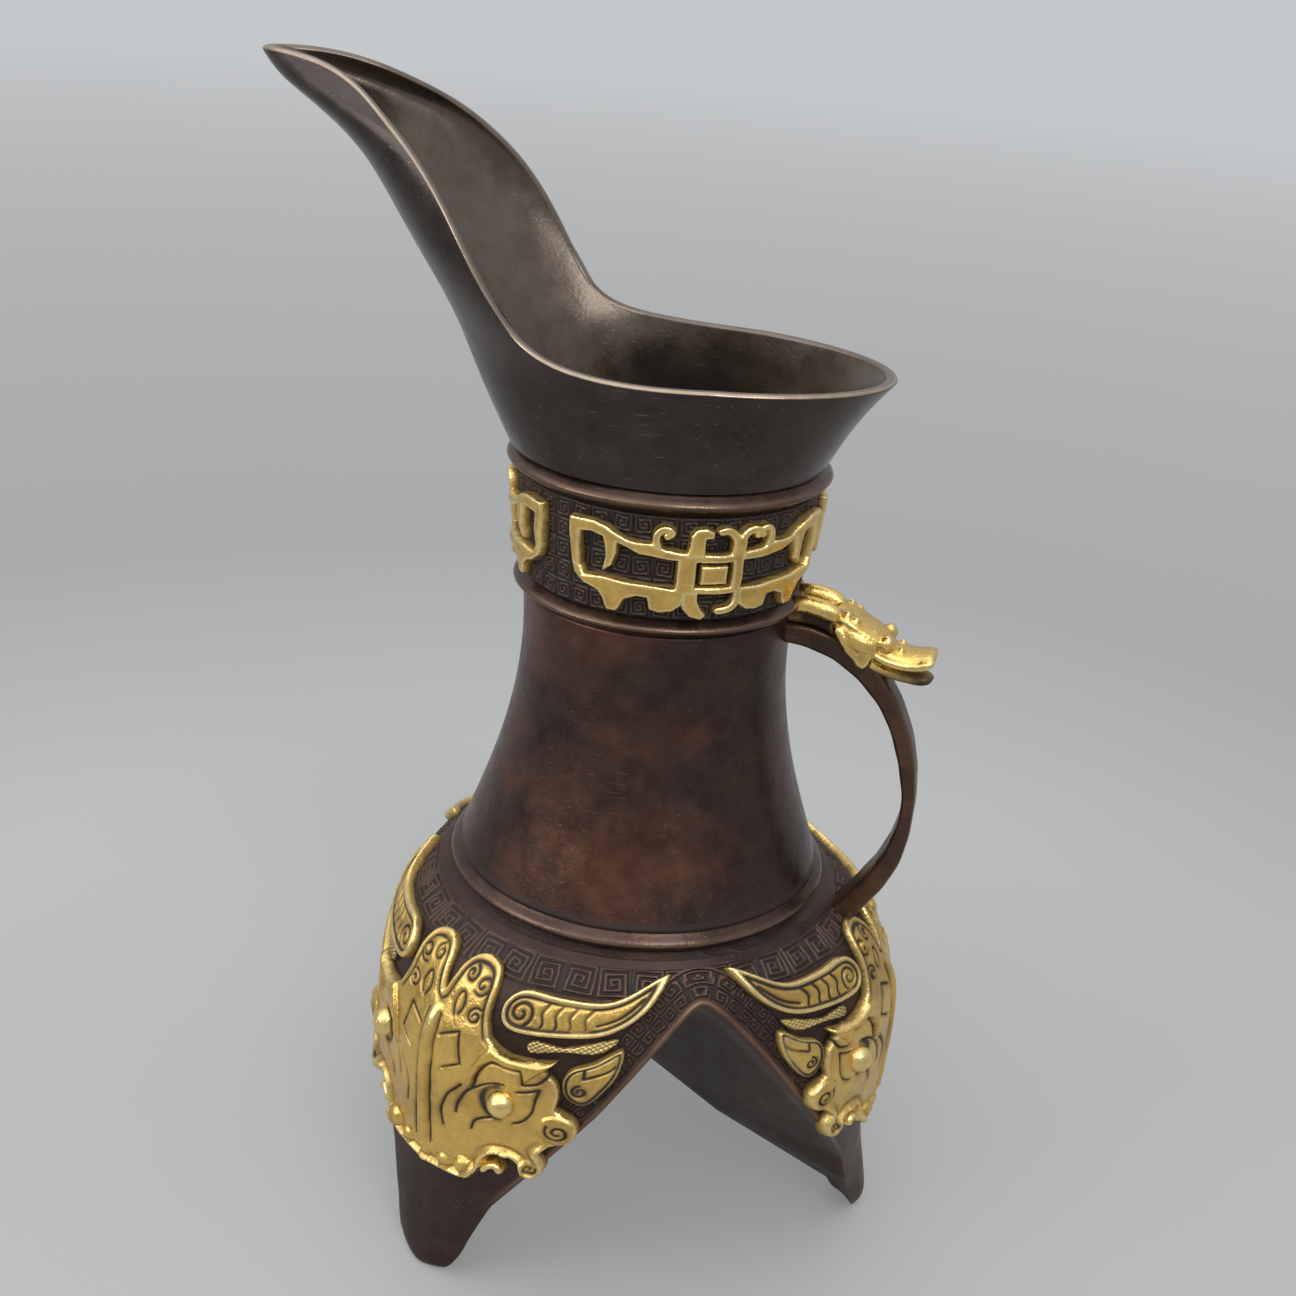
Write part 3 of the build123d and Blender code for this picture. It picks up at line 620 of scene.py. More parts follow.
# Mouth and spout
# A flared mouth drawn out into a long upswept trough, one casting of dark bronze.
# Its lip is rounded and worn bright along the outside, and the inside is scratched from cleaning.

MOUTH_LOW = BAND_HEAD + HEAD_COVER
RIM_LEVEL = 156.6
RIM_WALL = 2.0
# Height, reach towards the handle, reach towards the spout, half width, and where the widest point lies
MOUTH_STATIONS = [
    (MOUTH_LOW, 25.5, 26.5, 25.3, 0.5), (147.8, 28.9, 30.6, 24.6, 1.5), (RIM_LEVEL, 35.0, 34.8, 25.2, 4.0),
    (163.6, 40.0, 38.1, 26.2, 12.0), (170.8, 40.0, 42.6, 25.6, 21.0), (178.4, 35.0, 47.9, 23.8, 28.0),
    (185.0, 25.0, 53.8, 20.8, 34.5), (189.8, 15.0, 61.0, 17.2, 41.0), (193.4, 5.0, 67.5, 12.2, 47.0),
    (197.6, -5.0, 71.7, 6.7, 54.0),
]
# Distance along X and height of the rim as seen from the side
RIM_LINE = [(36.0, RIM_LEVEL), (10.0, RIM_LEVEL), (-8.3, RIM_LEVEL + 0.2), (-19.3, 160.0), (-25.0, 166.8),
            (-34.0, 180.4), (-46.0, 190.7), (-58.0, 195.7), (-74.3, 196.6)]
SPOUT_START = -12.0
CURVE_STEPS, RIM_STEPS = 300, 4000
MOUTH_COLUMNS, MOUTH_ROWS, LIP_ROWS = 260, 120, 9
# How late the upright lines fan out towards the spout
FAN_POWER = 1.6
LIP_ROUND = 0.55
RIM_DROP = 0.4
COLLAR_CLEAR, COLLAR_ROWS = 0.05, 4
# Wear on the outer rows of the lip, on its other rows and inside
BRIGHT_ROWS, BRIGHT_RUB, LIP_INNER_RUB, MOUTH_INNER_RUB = 3, 0.9, 0.3, 0.22

mouth_bronze = finish_material(
    "mouth_bronze", patina, 0.16, {"Specular IOR Level": 0.7, "Coat Weight": 0.2, "Coat Roughness": 0.2},
    Warmth=0.5, Gloss=0.28,
    Dark=(0.038, 0.027, 0.023, 1), Warm=(0.062, 0.04, 0.033, 1), Bare=(0.42, 0.325, 0.235, 1))

mouth_shape = smooth_curve(MOUTH_STATIONS, CURVE_STEPS)
mouth_shape = mouth_shape[np.argsort(mouth_shape[:, 0])]
rim_shape = smooth_curve(RIM_LINE[1:], CURVE_STEPS)


def rim_height(x):
    """Height of the rim at a distance along X."""
    return np.where(x > RIM_LINE[1][0], RIM_LEVEL, np.interp(-x, -rim_shape[:, 0], rim_shape[:, 1]))


def mouth_section(height, wall):
    """Reach towards the handle, reach towards the spout, half width and widest place at a height."""
    levels = mouth_shape[:, 0]
    handle, spout, half, widest = (np.interp(height, levels, column) for column in mouth_shape.T[1:])
    lean = np.interp(height, levels, np.gradient(mouth_shape[:, 2]) / np.gradient(levels))
    return handle - wall + widest, spout - wall * np.hypot(1, lean) - widest, half - wall, widest


def mouth_skin(wall):
    """Half of the mouth's surface, from joint to rim and from the handle round to the spout's tip."""
    spread = np.linspace(RIM_LINE[-1][0], RIM_LINE[0][0], RIM_STEPS)
    handle, spout, _, widest = mouth_section(rim_height(spread), wall)
    inside = spread[(spread > -spout - widest) & (spread < handle - widest)]
    swing = np.linspace(0, pi, MOUTH_COLUMNS)
    x = (inside[-1] + inside[0]) / 2 + (inside[-1] - inside[0]) / 2 * np.cos(swing)
    top = rim_height(x)
    handle, spout, _, widest = mouth_section(top, wall)
    ahead = x + widest
    rim_turn = np.arccos(np.clip(ahead / np.where(ahead < 0, spout, handle), -1, 1))
    rim_turn[[0, -1]] = 0.0, pi
    length = np.concatenate([[0.0], np.cumsum(np.hypot(np.diff(x), np.diff(top)))])
    bend = np.argmax(x < SPOUT_START)
    along_spout = (pi - rim_turn[bend]) * (length - length[bend]) / (length[-1] - length[bend])
    foot_turn = np.where(x < SPOUT_START, rim_turn[bend] + along_spout, rim_turn)
    share = np.linspace(0, 1, MOUTH_ROWS)[:, None]
    height = MOUTH_LOW + share * (top - MOUTH_LOW)
    turn = foot_turn + (rim_turn - foot_turn) * share**FAN_POWER
    handle, spout, half, widest = mouth_section(height, wall)
    reach = np.where(np.cos(turn) < 0, spout, handle)
    return np.stack([reach * np.cos(turn) - widest, half * np.sin(turn), height], axis=-1)


def both_sides(half):
    """The half grid followed by its mirror image, as one grid that closes on itself."""
    return np.concatenate([half, half[:, -2:0:-1] * (1, -1, 1)], axis=1)


mouth_out, mouth_in = both_sides(mouth_skin(0.0)), both_sides(mouth_skin(RIM_WALL))
lip_turn = np.linspace(0, pi, LIP_ROWS + 2)[1:-1, None, None]
lip_middle, lip_half = (mouth_out[-1] + mouth_in[-1]) / 2, (mouth_out[-1] - mouth_in[-1]) / 2
lip_rise = np.linalg.norm(lip_half, axis=1, keepdims=True) * (0.0, 0.0, LIP_ROUND)
lip = lip_middle + lip_half * np.cos(lip_turn) + lip_rise * np.sin(lip_turn)
collar_turn = np.arctan2(mouth_out[0, :, 1], mouth_out[0, :, 0])
collar_circle = np.stack([np.cos(collar_turn), np.sin(collar_turn), 0 * collar_turn], axis=-1)
collar_top = MOUTH_LOW - COLLAR_CLEAR
collar = np.stack([radius * collar_circle + (0.0, 0.0, level) for radius, level in (
    (BAND_HEAD_BORE, collar_top), (BAND_HEAD_BORE, BAND_HEAD),
    (BAND_HEAD_SEAT, BAND_HEAD), (BAND_HEAD_SEAT, collar_top))])
mouth_points = np.concatenate([mouth_out, lip, mouth_in[::-1], collar, mouth_out[:1]])
mouth_points[..., 2] -= np.interp(mouth_points[..., 2], (MOUTH_LOW, RIM_LEVEL), (0, RIM_DROP))
mouth_rub, mouth_recess = np.zeros(mouth_points.shape[:2]), np.zeros(mouth_points.shape[:2])
lip_end = MOUTH_ROWS + LIP_ROWS
mouth_rub[MOUTH_ROWS:MOUTH_ROWS + BRIGHT_ROWS] = BRIGHT_RUB
mouth_rub[MOUTH_ROWS + BRIGHT_ROWS:lip_end] = LIP_INNER_RUB
mouth_rub[lip_end:-COLLAR_ROWS - 2] = MOUTH_INNER_RUB
mouth_recess[-COLLAR_ROWS - 3:-1] = BORE_DARKENING
add_ring("mouth_and_spout", mouth_points, mouth_bronze, "mouth_spout", mouth_recess, mouth_rub)

# Gilt dragons on the neck band
# Three castings of paired square-hooked dragons in bronze strapwork, fire-gilt and set on the dark band.
# The gilding is bright on the crests, thin and brown in patches, and dirt lies along its edges.

SUNK = 0.4
MOTIF_RADIUS = 24.3
MOTIF_TURNS = {"front": -60.0, "rear": 60.0, "spout": 180.0}
MOTIF_THICKNESS = 1.5
MOTIF_STEP, MOTIF_LOW, MOTIF_HIGH = 0.17, (-23.0, 2.0), (23.0, 18.4)
MOTIF_EDGE = 0.5
# How far the rim of a gilt casting lies under the surface it is set on
RIM_UNDER = 0.1
# Uneven thickness: its size, radians of its waves per millimetre along and up the band, and their starts
SWELL, SWELL_ALONG, SWELL_UP, START_ALONG, START_UP = 0.16, 0.9, 1.1, 1.0, 0.4
# Dirt along the rim: its breadth and strength. Wear along the crest: its place and breadth
MOTIF_DIRT, MOTIF_CREST = (0.22, 0.75), (0.42, 0.24)
FIN_STEPS, STROKE_STEPS = 20, 16
# Distance along the band from the middle of a motif, and height above the band's foot
FRAME = [(-1, 13.4), (4.5, 13.4), (4.5, 6.9), (-1, 6.9), (-1, 7.9), (2.9, 7.9), (2.9, 12.2), (-1, 12.2)]
STRAP_SPREAD = 0.26
BOSS = [(-2.0, 8.6), (2.0, 8.6), (2.0, 11.5), (-2.0, 11.5)]
LEFT_POST = [(-5.6, 6.9), (-5.6, 13.4), (-2.9, 13.4), (-2.9, 6.9)]
UPPER_LIMB = [
    (4.3, 12.4), (4.3, 13.6), (7.6, 14.1), (9.8, 14.9), (11.7, 14.8), (13.4, 15.0), (15.0, 15.8),
    (16.5, 16.7), (18.4, 17.2), (22.4, 17.0), (22.5, 14.6), (21.9, 9.3), (20.8, 9.3), (20.8, 15.0),
    (18.6, 15.4), (16.8, 15.0), (16.5, 13.2), (16.4, 11.4), (16.7, 9.4), (15.4, 10.6), (14.8, 12.6),
    (14.8, 14.4), (12.9, 13.8), (11.4, 13.0), (7.5, 12.6),
]
LOWER_LIMB = [
    (4.3, 7.6), (9.5, 7.8), (13.3, 8.0), (16.4, 8.2), (20.0, 7.9), (20.8, 9.4), (21.9, 9.4), (21.4, 7.9),
    (19.7, 6.6), (17.5, 5.8), (16.6, 4.8), (15.9, 2.9), (14.4, 2.9), (13.2, 5.1), (11.4, 5.9), (9.7, 5.8),
    (9.3, 4.0), (7.9, 3.5), (5.9, 3.8), (4.8, 4.7), (4.3, 6.2),
]
LEFT_COLUMN = [(-4.2, 13.2), (-4.0, 16.6), (-3.3, 17.6), (-1.8, 17.8), (-0.7, 17.2), (-0.7, 16.2),
               (-1.9, 16.2), (-1.8, 13.2)]
LEFT_HOOK = [(-4.4, 7.2), (-4.4, 4.4), (-3.2, 3.0), (-1.4, 2.5), (-0.6, 3.2), (-1.5, 4.2), (-2.2, 5.6),
             (-2.3, 7.2)]
# Half width and path of the parts that are drawn as bent strokes
FIN = (0.5, [(8.7, 14.6), (9.0, 16.0), (8.4, 17.2), (7.4, 17.4), (6.8, 16.8), (7.4, 16.3)])
RIGHT_STROKES = [
    (1.0, [(3.5, 13.0), (3.5, 14.3), (3.5, 15.4)]),
    (0.6, [(3.4, 15.2), (2.4, 16.7), (1.3, 17.4), (0.5, 17.3)]),
    (0.55, [(3.7, 15.4), (4.3, 16.7), (5.4, 17.3), (6.5, 17.1), (6.5, 16.4)]),
    (0.55, [(4.2, 7.2), (4.1, 5.4), (3.0, 4.2), (1.4, 3.8)]),
]


def gilt_skin():
    """Fire gilding: uneven yellow metal, brown where it is thin, pale on the crests, dirty in the cuts, and
    dark where shade is painted.
    """
    tree, given, result = effect(
        "gilt_skin",
        [("Gold", (0.8, 0.53, 0.15, 1)), ("Thin", (0.33, 0.17, 0.06, 1)), ("Crest", (0.98, 0.8, 0.4, 1)),
         ("Wear", 0.5), ("Gloss", 0.3), ("Recess", 0.0), ("Rub", 0.0)],
        SKIN_OUTPUTS)
    dirt_and_shade_colour = (0.042, 0.025, 0.012, 1)
    crest_share, dirt_and_shade_rough, grain_height = 0.8, 0.35, 0.3
    clean_metal, dirt_and_shade_metal = 1.0, 0.3
    middle_speck = (0.3, 0.7)
    place = tree.nodes.new("ShaderNodeTexCoord").outputs["Object"]
    cloud = noise(tree, place, scale=95.0, detail=4.0, roughness=0.6)
    speck = noise(tree, place, scale=520.0, detail=4.0, roughness=0.65)
    grain = noise(tree, place, scale=2200.0, detail=2.0)
    patch = between(tree, cloud, low=0.5, high=0.74)
    spots = between(tree, speck, low=0.6, high=0.76)
    thin = reckon(tree, "MULTIPLY", reckon(tree, "MAXIMUM", patch, spots), given["Wear"])
    colour = mixed(tree, thin, given["Gold"], given["Thin"])
    crest = mixed(tree, reckon(tree, "MULTIPLY", given["Rub"], crest_share), colour, given["Crest"])
    shade = between(tree, speck, *middle_speck, bottom=0.86, top=1.1)
    tone = add_node(tree, "ShaderNodeHueSaturation", Color=crest, Value=shade)
    smudge = between(tree, cloud, low=0.35, high=0.65, bottom=0.55, top=1.15)
    # Dirt in the cuts and creases, and painted shade by the masks' eyes and under the dragon's horns
    dirt_and_shade = between(tree, reckon(tree, "MULTIPLY", given["Recess"], smudge), low=0.1, high=0.7)
    feed(tree, result["Color"], mixed(tree, dirt_and_shade, tone.outputs[0], dirt_and_shade_colour))
    rough = reckon(tree, "ADD", given["Gloss"], between(tree, speck, *middle_speck, bottom=-0.06, top=0.1))
    feed(tree, result["Roughness"], reckon(tree, "ADD", rough, reckon(tree, "MULTIPLY", dirt_and_shade, dirt_and_shade_rough)))
    feed(tree, result["Metal"], between(tree, dirt_and_shade, 0.0, 1.0, clean_metal, dirt_and_shade_metal))
    feed(tree, result["Height"], reckon(tree, "ADD", reckon(tree, "MULTIPLY", grain, grain_height), speck))
    return tree


gilding = gilt_skin()
motif_gilt = finish_material("motif_gilt", gilding, bump=0.3, Wear=0.55, Gloss=0.26)


def segment_gap(points, start, stop):
    """Distance of each point from the nearest of some straight segments."""
    batch = 3000
    run = stop - start
    length = np.maximum((run**2).sum(axis=1), TINY)
    gaps = []
    for part in np.array_split(points, len(points) // batch + 1):
        ahead = part[:, None] - start
        share = np.clip((ahead * run).sum(axis=2) / length, 0, 1)
        gaps.append(np.linalg.norm(ahead - share[..., None] * run, axis=2).min(axis=1))
    return np.concatenate(gaps)


def line_gap(points, line):
    """Distance of points from an open line."""
    line = np.asarray(line, float)
    return segment_gap(points, line[:-1], line[1:])


def shape_gap(points, outline):
    """Distance of points from a closed outline, negative inside it."""
    start = np.asarray(outline, float)
    stop = np.roll(start, -1, axis=0)
    inside = np.zeros(len(points), bool)
    for (left, low), (right, high) in zip(start, stop):
        if low != high:
            spans = (low > points[:, 1]) != (high > points[:, 1])
            inside ^= spans & (points[:, 0] < left + (points[:, 1] - low) * (right - left) / (high - low))
    gap = segment_gap(points, start, stop)
    return np.where(inside, -gap, gap)


def relief(gap_of, low, high, step):
    """Fine sheet trimmed to a shape: its plane points, the faces of a closed body, and the depth inside."""
    kept_outside, least_slope = 0.7, 0.25
    columns, rows = np.arange(low[0], high[0] + step, step), np.arange(low[1], high[1] + step, step)
    plane = np.stack(np.meshgrid(columns, rows), axis=-1)
    inside = -gap_of(plane.reshape(-1, 2)).reshape(plane.shape[:2])
    slope = np.stack(np.gradient(inside, step)[::-1], axis=-1).reshape(-1, 2)
    faces = grid_faces(len(rows), len(columns))
    faces = faces[(inside.ravel()[faces] > -kept_outside * step).all(axis=1)]
    used, faces = np.unique(faces, return_inverse=True)
    faces = faces.reshape(-1, 4)
    points, slope, inside = plane.reshape(-1, 2)[used], slope[used], inside.ravel()[used]
    count = len(points)
    sides = np.concatenate([faces[:, [corner, (corner + 1) % 4]] for corner in range(4)])
    rim_sides = sides[~np.isin(sides[:, 0] * count + sides[:, 1], sides[:, 1] * count + sides[:, 0])]
    rim = np.unique(rim_sides)
    size = np.maximum((slope[rim] ** 2).sum(axis=1), least_slope)
    points[rim] -= (inside[rim] / size)[:, None] * slope[rim]
    inside[rim] = 0.0
    start, stop = rim_sides.T
    walls = np.stack([stop, start, start + count, stop + count], axis=1)
    return points, np.vstack([faces, faces[:, ::-1] + count, walls]), np.maximum(inside, 0.0)


def rounded(inside, edge):
    """Quarter-round rise from the rim of a sheet to its full height."""
    return np.sqrt(1 - (1 - np.clip(inside / edge, 0, 1)) ** 2)


def rim_dirt(inside, breadth, strength):
    """Dirt that lies along the rim of a sheet."""
    return strength * np.clip(1 - inside / breadth, 0, 1)


def rim_line(inside, place, breadth, strength=1.0):
    """Line that follows the rim of a sheet at a distance inwards."""
    return strength * hump(inside - place, breadth)


def fold(points):
    """Points of the left half laid over the right half."""
    return np.abs(points * (1, 0)) + points * (0, 1)


def on_band(plane, proud, turn):
    """Points on the neck band, given along it and above its foot."""
    angle = plane[:, 0] / MOTIF_RADIUS + radians(turn)
    height = np.clip(BAND_FOOT + plane[:, 1], BAND_LOW, BAND_HIGH)
    radius = band_radius(height) + proud
    return np.stack([radius * np.cos(angle), radius * np.sin(angle), height], axis=1)


def motif_gap(points):
    """Distance from the strapwork, negative inside it."""
    folded = fold(points)
    gaps = [shape_gap(folded, outline) for outline in (FRAME, UPPER_LIMB, LOWER_LIMB)]
    gaps += [shape_gap(points, outline) for outline in (BOSS, LEFT_COLUMN, LEFT_HOOK, LEFT_POST)]
    gaps += [line_gap(folded, smooth_curve(FIN[1], FIN_STEPS)) - FIN[0]]
    gaps += [line_gap(points, smooth_curve(path, STROKE_STEPS)) - half for half, path in RIGHT_STROKES]
    return np.min(gaps, axis=0) - STRAP_SPREAD


motif_plane, motif_faces, motif_inside = relief(motif_gap, MOTIF_LOW, MOTIF_HIGH, MOTIF_STEP)
motif_swell = SWELL * np.sin(motif_plane[:, 0] * SWELL_ALONG + START_ALONG)
motif_swell = motif_swell * np.sin(motif_plane[:, 1] * SWELL_UP + START_UP)
motif_top = -RIM_UNDER + (MOTIF_THICKNESS + RIM_UNDER + motif_swell) * rounded(motif_inside, MOTIF_EDGE)
for motif_name, motif_turn in MOTIF_TURNS.items():
    motif_sides = [on_band(motif_plane, proud, motif_turn) for proud in (motif_top, -SUNK)]
    add_piece("gilt_dragons_" + motif_name, np.vstack(motif_sides), motif_faces, motif_gilt,
              ["band_motif_" + motif_name], rim_dirt(motif_inside, *MOTIF_DIRT),
              rim_line(motif_inside, *MOTIF_CREST))

# Gilt masks on the legs
# A beast mask on each leg: face plate, eye bosses, horns and ears are separate gilt castings riveted on.
# The drawing is chased into the gilding, so its lines are dark; the nose and the lower rim stand proud.

MASK_THICKNESS = 1.6
MASK_EDGE = 0.55
FACE_STEP, FACE_LOW, FACE_HIGH = 0.2, (-26.0, -45.4), (26.0, -2.6)
TRIM_STEP, TRIM_MARGIN, TRIM_STEPS, LASH_STEPS = 0.16, 0.5, 160, 120
# Distance across from the nose, and height against the shoulder
FACE_RUNS = [
    [(0.0, -11.0), (0.6, -9.0), (1.2, -6.8)],
    [(1.2, -6.8), (2.4, -5.2), (5.2, -4.5), (8.0, -5.5), (9.2, -8.0), (9.5, -11.0), (10.8, -14.8)],
    [(10.8, -14.8), (13.5, -16.3), (17.5, -16.4), (21.4, -15.8)],
    [(21.4, -15.8), (20.0, -17.8)],
    [(20.0, -17.8), (21.9, -20.0), (22.0, -24.5)],
    [(22.0, -24.5), (24.8, -26.4), (24.6, -29.6), (21.6, -31.8)],
    [(21.6, -31.8), (20.2, -33.6)],
    [(20.2, -33.6), (21.2, -35.8), (19.4, -38.8), (17.2, -38.4)],
    [(17.2, -38.4), (16.6, -35.9), (13.6, -35.8), (11.4, -39.6)],
    [(11.4, -39.6), (9.4, -42.8), (5.5, -43.7), (0.0, -44.4)],
]
# Half width and path of the curl in the lower rim's notch
NOTCH_CURL = (0.9, [(11.9, -39.4), (12.7, -38.4), (13.8, -38.0), (14.4, -38.7)])
BROW = [
    (8.1, -24.0), (8.9, -20.1), (10.0, -17.8), (11.3, -15.8), (12.6, -16.4), (14.1, -16.8), (16.4, -16.9),
    (18.6, -16.8), (20.8, -16.2), (19.5, -17.7), (17.2, -20.4), (16.4, -18.1), (14.0, -18.3), (12.2, -17.9),
    (10.2, -19.7), (9.3, -23.6),
]
# Round swellings: distance across, height, radius, and how far they stand proud
FACE_BUMPS = [
    (3.9, -7.3, 0.6, 0.3), (6.8, -8.1, 0.8, 0.4), (7.2, -12.6, 0.7, 0.4), (22.4, -28.0, 2.8, 1.0),
    (8.4, -40.4, 1.9, 1.3), (4.4, -41.4, 1.5, 0.9), (1.7, -40.0, 1.4, 0.5), (0.0, -42.6, 1.2, 0.5),
    (18.8, -36.6, 1.5, 0.6), (15.2, -34.6, 0.8, 0.4),
]
EYE_PLACE = (14.2, -25.2)
EYE_RADIUS = 2.5
HORN = [
    (11.0, -9.6), (12.2, -7.2), (16.6, -6.5), (22.0, -6.6), (26.0, -5.5), (28.6, -3.2),
    (29.4, -5.4), (28.8, -8.4), (26.2, -11.0), (21.4, -12.2), (15.4, -12.8), (12.2, -12.2),
]
EAR = [(23.0, -17.0), (25.4, -15.6), (28.2, -13.2), (28.6, -17.0), (27.4, -20.4), (25.0, -23.2),
       (23.2, -22.4)]
LASH = [(16.4, -13.9), (20.0, -13.6), (23.6, -12.9), (27.6, -11.8), (26.4, -13.8), (23.4, -14.5),
        (19.6, -15.0), (16.4, -15.1)]
# Hand-cut lines of the face: breadth and depth, then the size of their unevenness, radians of its waves
# per millimetre down and across, and a start
LINE_BREADTH, LINE_DEPTH = 0.25, 0.42
SHAKE, SHAKE_DOWN, SHAKE_ACROSS, SHAKE_START = 0.06, 1.3, 1.1, 2.0
# Place inwards from the rim, breadth and strength of the lines, ridge and worn crests that follow the rim
LOBE_LINE, LOW_RIM_LINE, LOW_RIM_RIDGE = (1.2, 0.26), (1.75, 0.3, 0.6), (0.75, 0.5, 0.75)
FACE_CREST, LOW_RIM_CREST, TRIM_CREST = (0.45, 0.25, 0.6), (0.7, 0.4, 0.9), (0.55, 0.32)
# Breadth and strength of the dirt along the rims, and strength and spread of the grime beside the lines
FACE_DIRT, TRIM_DIRT, LASH_DIRT = (0.25, 0.8), (0.22, 0.8), (0.3, 1.0)
FACE_GRIME, TRIM_GRIME = (0.42, 0.12), (0.4, 0.14)
# Forms of the face: levels between which each sets in, or depths under the shoulder where the name says so,
# then breadths, and how far it stands proud or lies deep; the forehead's line stops at the side of its lobe
FOREHEAD_FROM, LOBE_SIDE, LOW_RIM_DEPTHS = (-16.5, -15.0), (-10.9, -10.4), (30.5, 33.0)
LOBE_THIN_FROM, LOBE_THINNER = (-17.0, -11.0), 0.25
BROW_PROUD, BROW_EDGE = 0.75, 0.8
BULGE_FROM, BULGE_DEPTHS, BULGE_BREADTH = (-45.0, -37.0), (11.0, 22.0), 8.0
NOSE_FROM, NOSE_DEPTHS, NOSE_HALF, NOSE_PROUD = (-42.0, -39.5), (12.5, 15.5), 1.05, 0.65
# The nose is made pale towards its top: a painted highlight
NOSE_HIGHLIGHT_FROM, NOSE_TOP_HIGHLIGHT = (-20.0, -16.0), 0.6
BRIDGE_DEPTH, BRIDGE_BREADTH, BRIDGE_TALL, BRIDGE_PROUD = 17.5, 1.5, 2.6, 0.2
# The socket's dark mark beside the eye, towards the nose, is painted shade
SOCKET_RADIUS, SOCKET_BREADTH, SOCKET_DEEP, SOCKET_SHADE = 3.0, 0.85, 0.3, 0.9
SOCKET_OPEN, SOCKET_FADE = 1.2, 2.0
# Horns and ears: breadth of the raised border, how softly the sunk panel starts, its depth and its lines
HORN_BORDER, EAR_BORDER = 1.1, 0.55
PANEL_FROM, PANEL_TO, PANEL_DEEP = -0.1, 0.25, 0.25
TRIM_LINE_BREADTH, TRIM_LINE_DEPTH, BORDER_LINE_BREADTH = 0.26, 0.4, 0.24
# Strip: thickness, edge, height of its beads, dirt between them, and radians per millimetre of their pattern
LASH_THICKNESS, LASH_EDGE, LASH_BEADS, LASH_GAPS, BEADS_ACROSS, BEADS_DOWN = 0.8, 0.4, 0.35, 0.75, 7.0, 9.0
# Eye bosses: share of half a turn in the section, rows, columns, depth in the plate, stretch outwards, wear,
# and the height above the leg of a point on the line along which they stand out
EYE_LEAN, EYE_ROWS, EYE_COLUMNS, EYE_SINK, EYE_TALL, EYE_RUB, EYE_AIM = 0.62, 18, 48, 0.4, 1.05, 0.6, 5.0
# Steps along a run and a curl, and the corners that close the half outline behind the nose
RUN_STEPS, CURL_STEPS = 24, 16
FACE_BACK = [(0.0, -44.4), (-3.0, -44.4), (-3.0, -13.5)]

mask_gilt = finish_material("mask_gilt", gilding, bump=0.3, Wear=0.55, Gloss=0.24)


def coil(middle, size, turns, start, hand=1):
    """Open spiral that runs inwards from its outer end."""
    steps, shrink = 44, 0.78
    share = np.linspace(0, 1, steps)
    angle = radians(start) + hand * 2 * pi * turns * share
    radius = size * (1 - shrink * share)
    return np.stack([middle[0] + radius * np.cos(angle), middle[1] + radius * np.sin(angle)], axis=1)


FACE_CUTS = [
    coil((3.9, -7.3), 1.2, 1.25, 80, -1), coil((6.8, -8.1), 1.5, 1.3, 230), coil((7.2, -12.6), 1.4, 1.3, 60),
    smooth_curve([(3.5, -13.6), (3.0, -11.6), (3.9, -9.8), (4.8, -11.4), (4.2, -13.2)], 24),
    [(2.2, -17.4), (5.5, -15.5)], [(5.5, -15.5), (6.7, -20.6)], [(6.7, -20.6), (3.6, -22.6)],
    smooth_curve([(9.4, -24.0), (10.4, -20.2), (12.0, -18.5), (14.2, -18.8), (16.2, -18.7)], 24),
    [(16.4, -18.5), (17.1, -20.9)], smooth_curve([(17.1, -20.9), (19.5, -19.9), (20.6, -17.9)], 12),
    smooth_curve([(6.6, -30.0), (7.6, -26.5), (9.6, -23.9), (12.0, -22.4), (14.2, -21.9)], 24),
    smooth_curve([(16.3, -22.4), (17.8, -22.0), (19.4, -21.3)], 12),
    smooth_curve([(19.4, -21.3), (18.9, -24.8), (17.9, -27.3), (16.2, -28.4)], 16),
    smooth_curve([(12.8, -28.6), (11.2, -29.2), (10.0, -30.4), (9.4, -32.2)], 16),
    smooth_curve([(4.3, -33.6), (4.0, -30.2), (5.2, -26.8), (7.4, -24.3)], 20),
    smooth_curve([(1.7, -39.0), (1.5, -28.0), (1.4, -20.0), (1.3, -14.5)], 30),
    coil((22.4, -28.0), 1.7, 1.4, 150), coil((18.9, -36.6), 1.0, 1.1, 20, -1),
]
# Wavy lines across the horn: where they stand, depths of their top and end, points along them, and the size
# of their waves with the radians per millimetre
HORN_BARS = (17.3, 19.2, 21.1, 23.0)
BAR_TOP, BAR_END, BAR_STEPS, BAR_WAVE, BAR_WAVES = 7.2, 12.2, 16, 0.28, 1.9
HORN_CUTS = [coil((14.1, -9.8), 1.9, 1.3, 300), smooth_curve([(24.4, -9.8), (26.6, -8.5), (28.0, -6.2)], 12)]
HORN_CUTS += [[(across + BAR_WAVE * sin(BAR_WAVES * depth), -depth)
               for depth in np.linspace(BAR_TOP, BAR_END, BAR_STEPS)] for across in HORN_BARS]
EAR_CUTS = [[(24.6, -16.6), (24.7, -18.4)], [(24.7, -18.4), (26.4, -17.5)],
            smooth_curve([(26.4, -17.5), (27.4, -16.8), (28.2, -15.4)], 10),
            coil((24.5, -20.7), 1.05, 1.3, 100)]


def leg_skin(across, height):
    """Points on the lobed outside beside the middle plane of a leg."""
    first_guess, rounds, least = 40.0, 12, 1.0
    forward = np.full_like(across, first_guess)
    for _ in range(rounds):
        reach = pouch_radius(np.arctan2(across, forward), height)
        forward = np.sqrt(np.maximum(reach**2 - across**2, least))
    return np.stack([forward, across, height], axis=1)


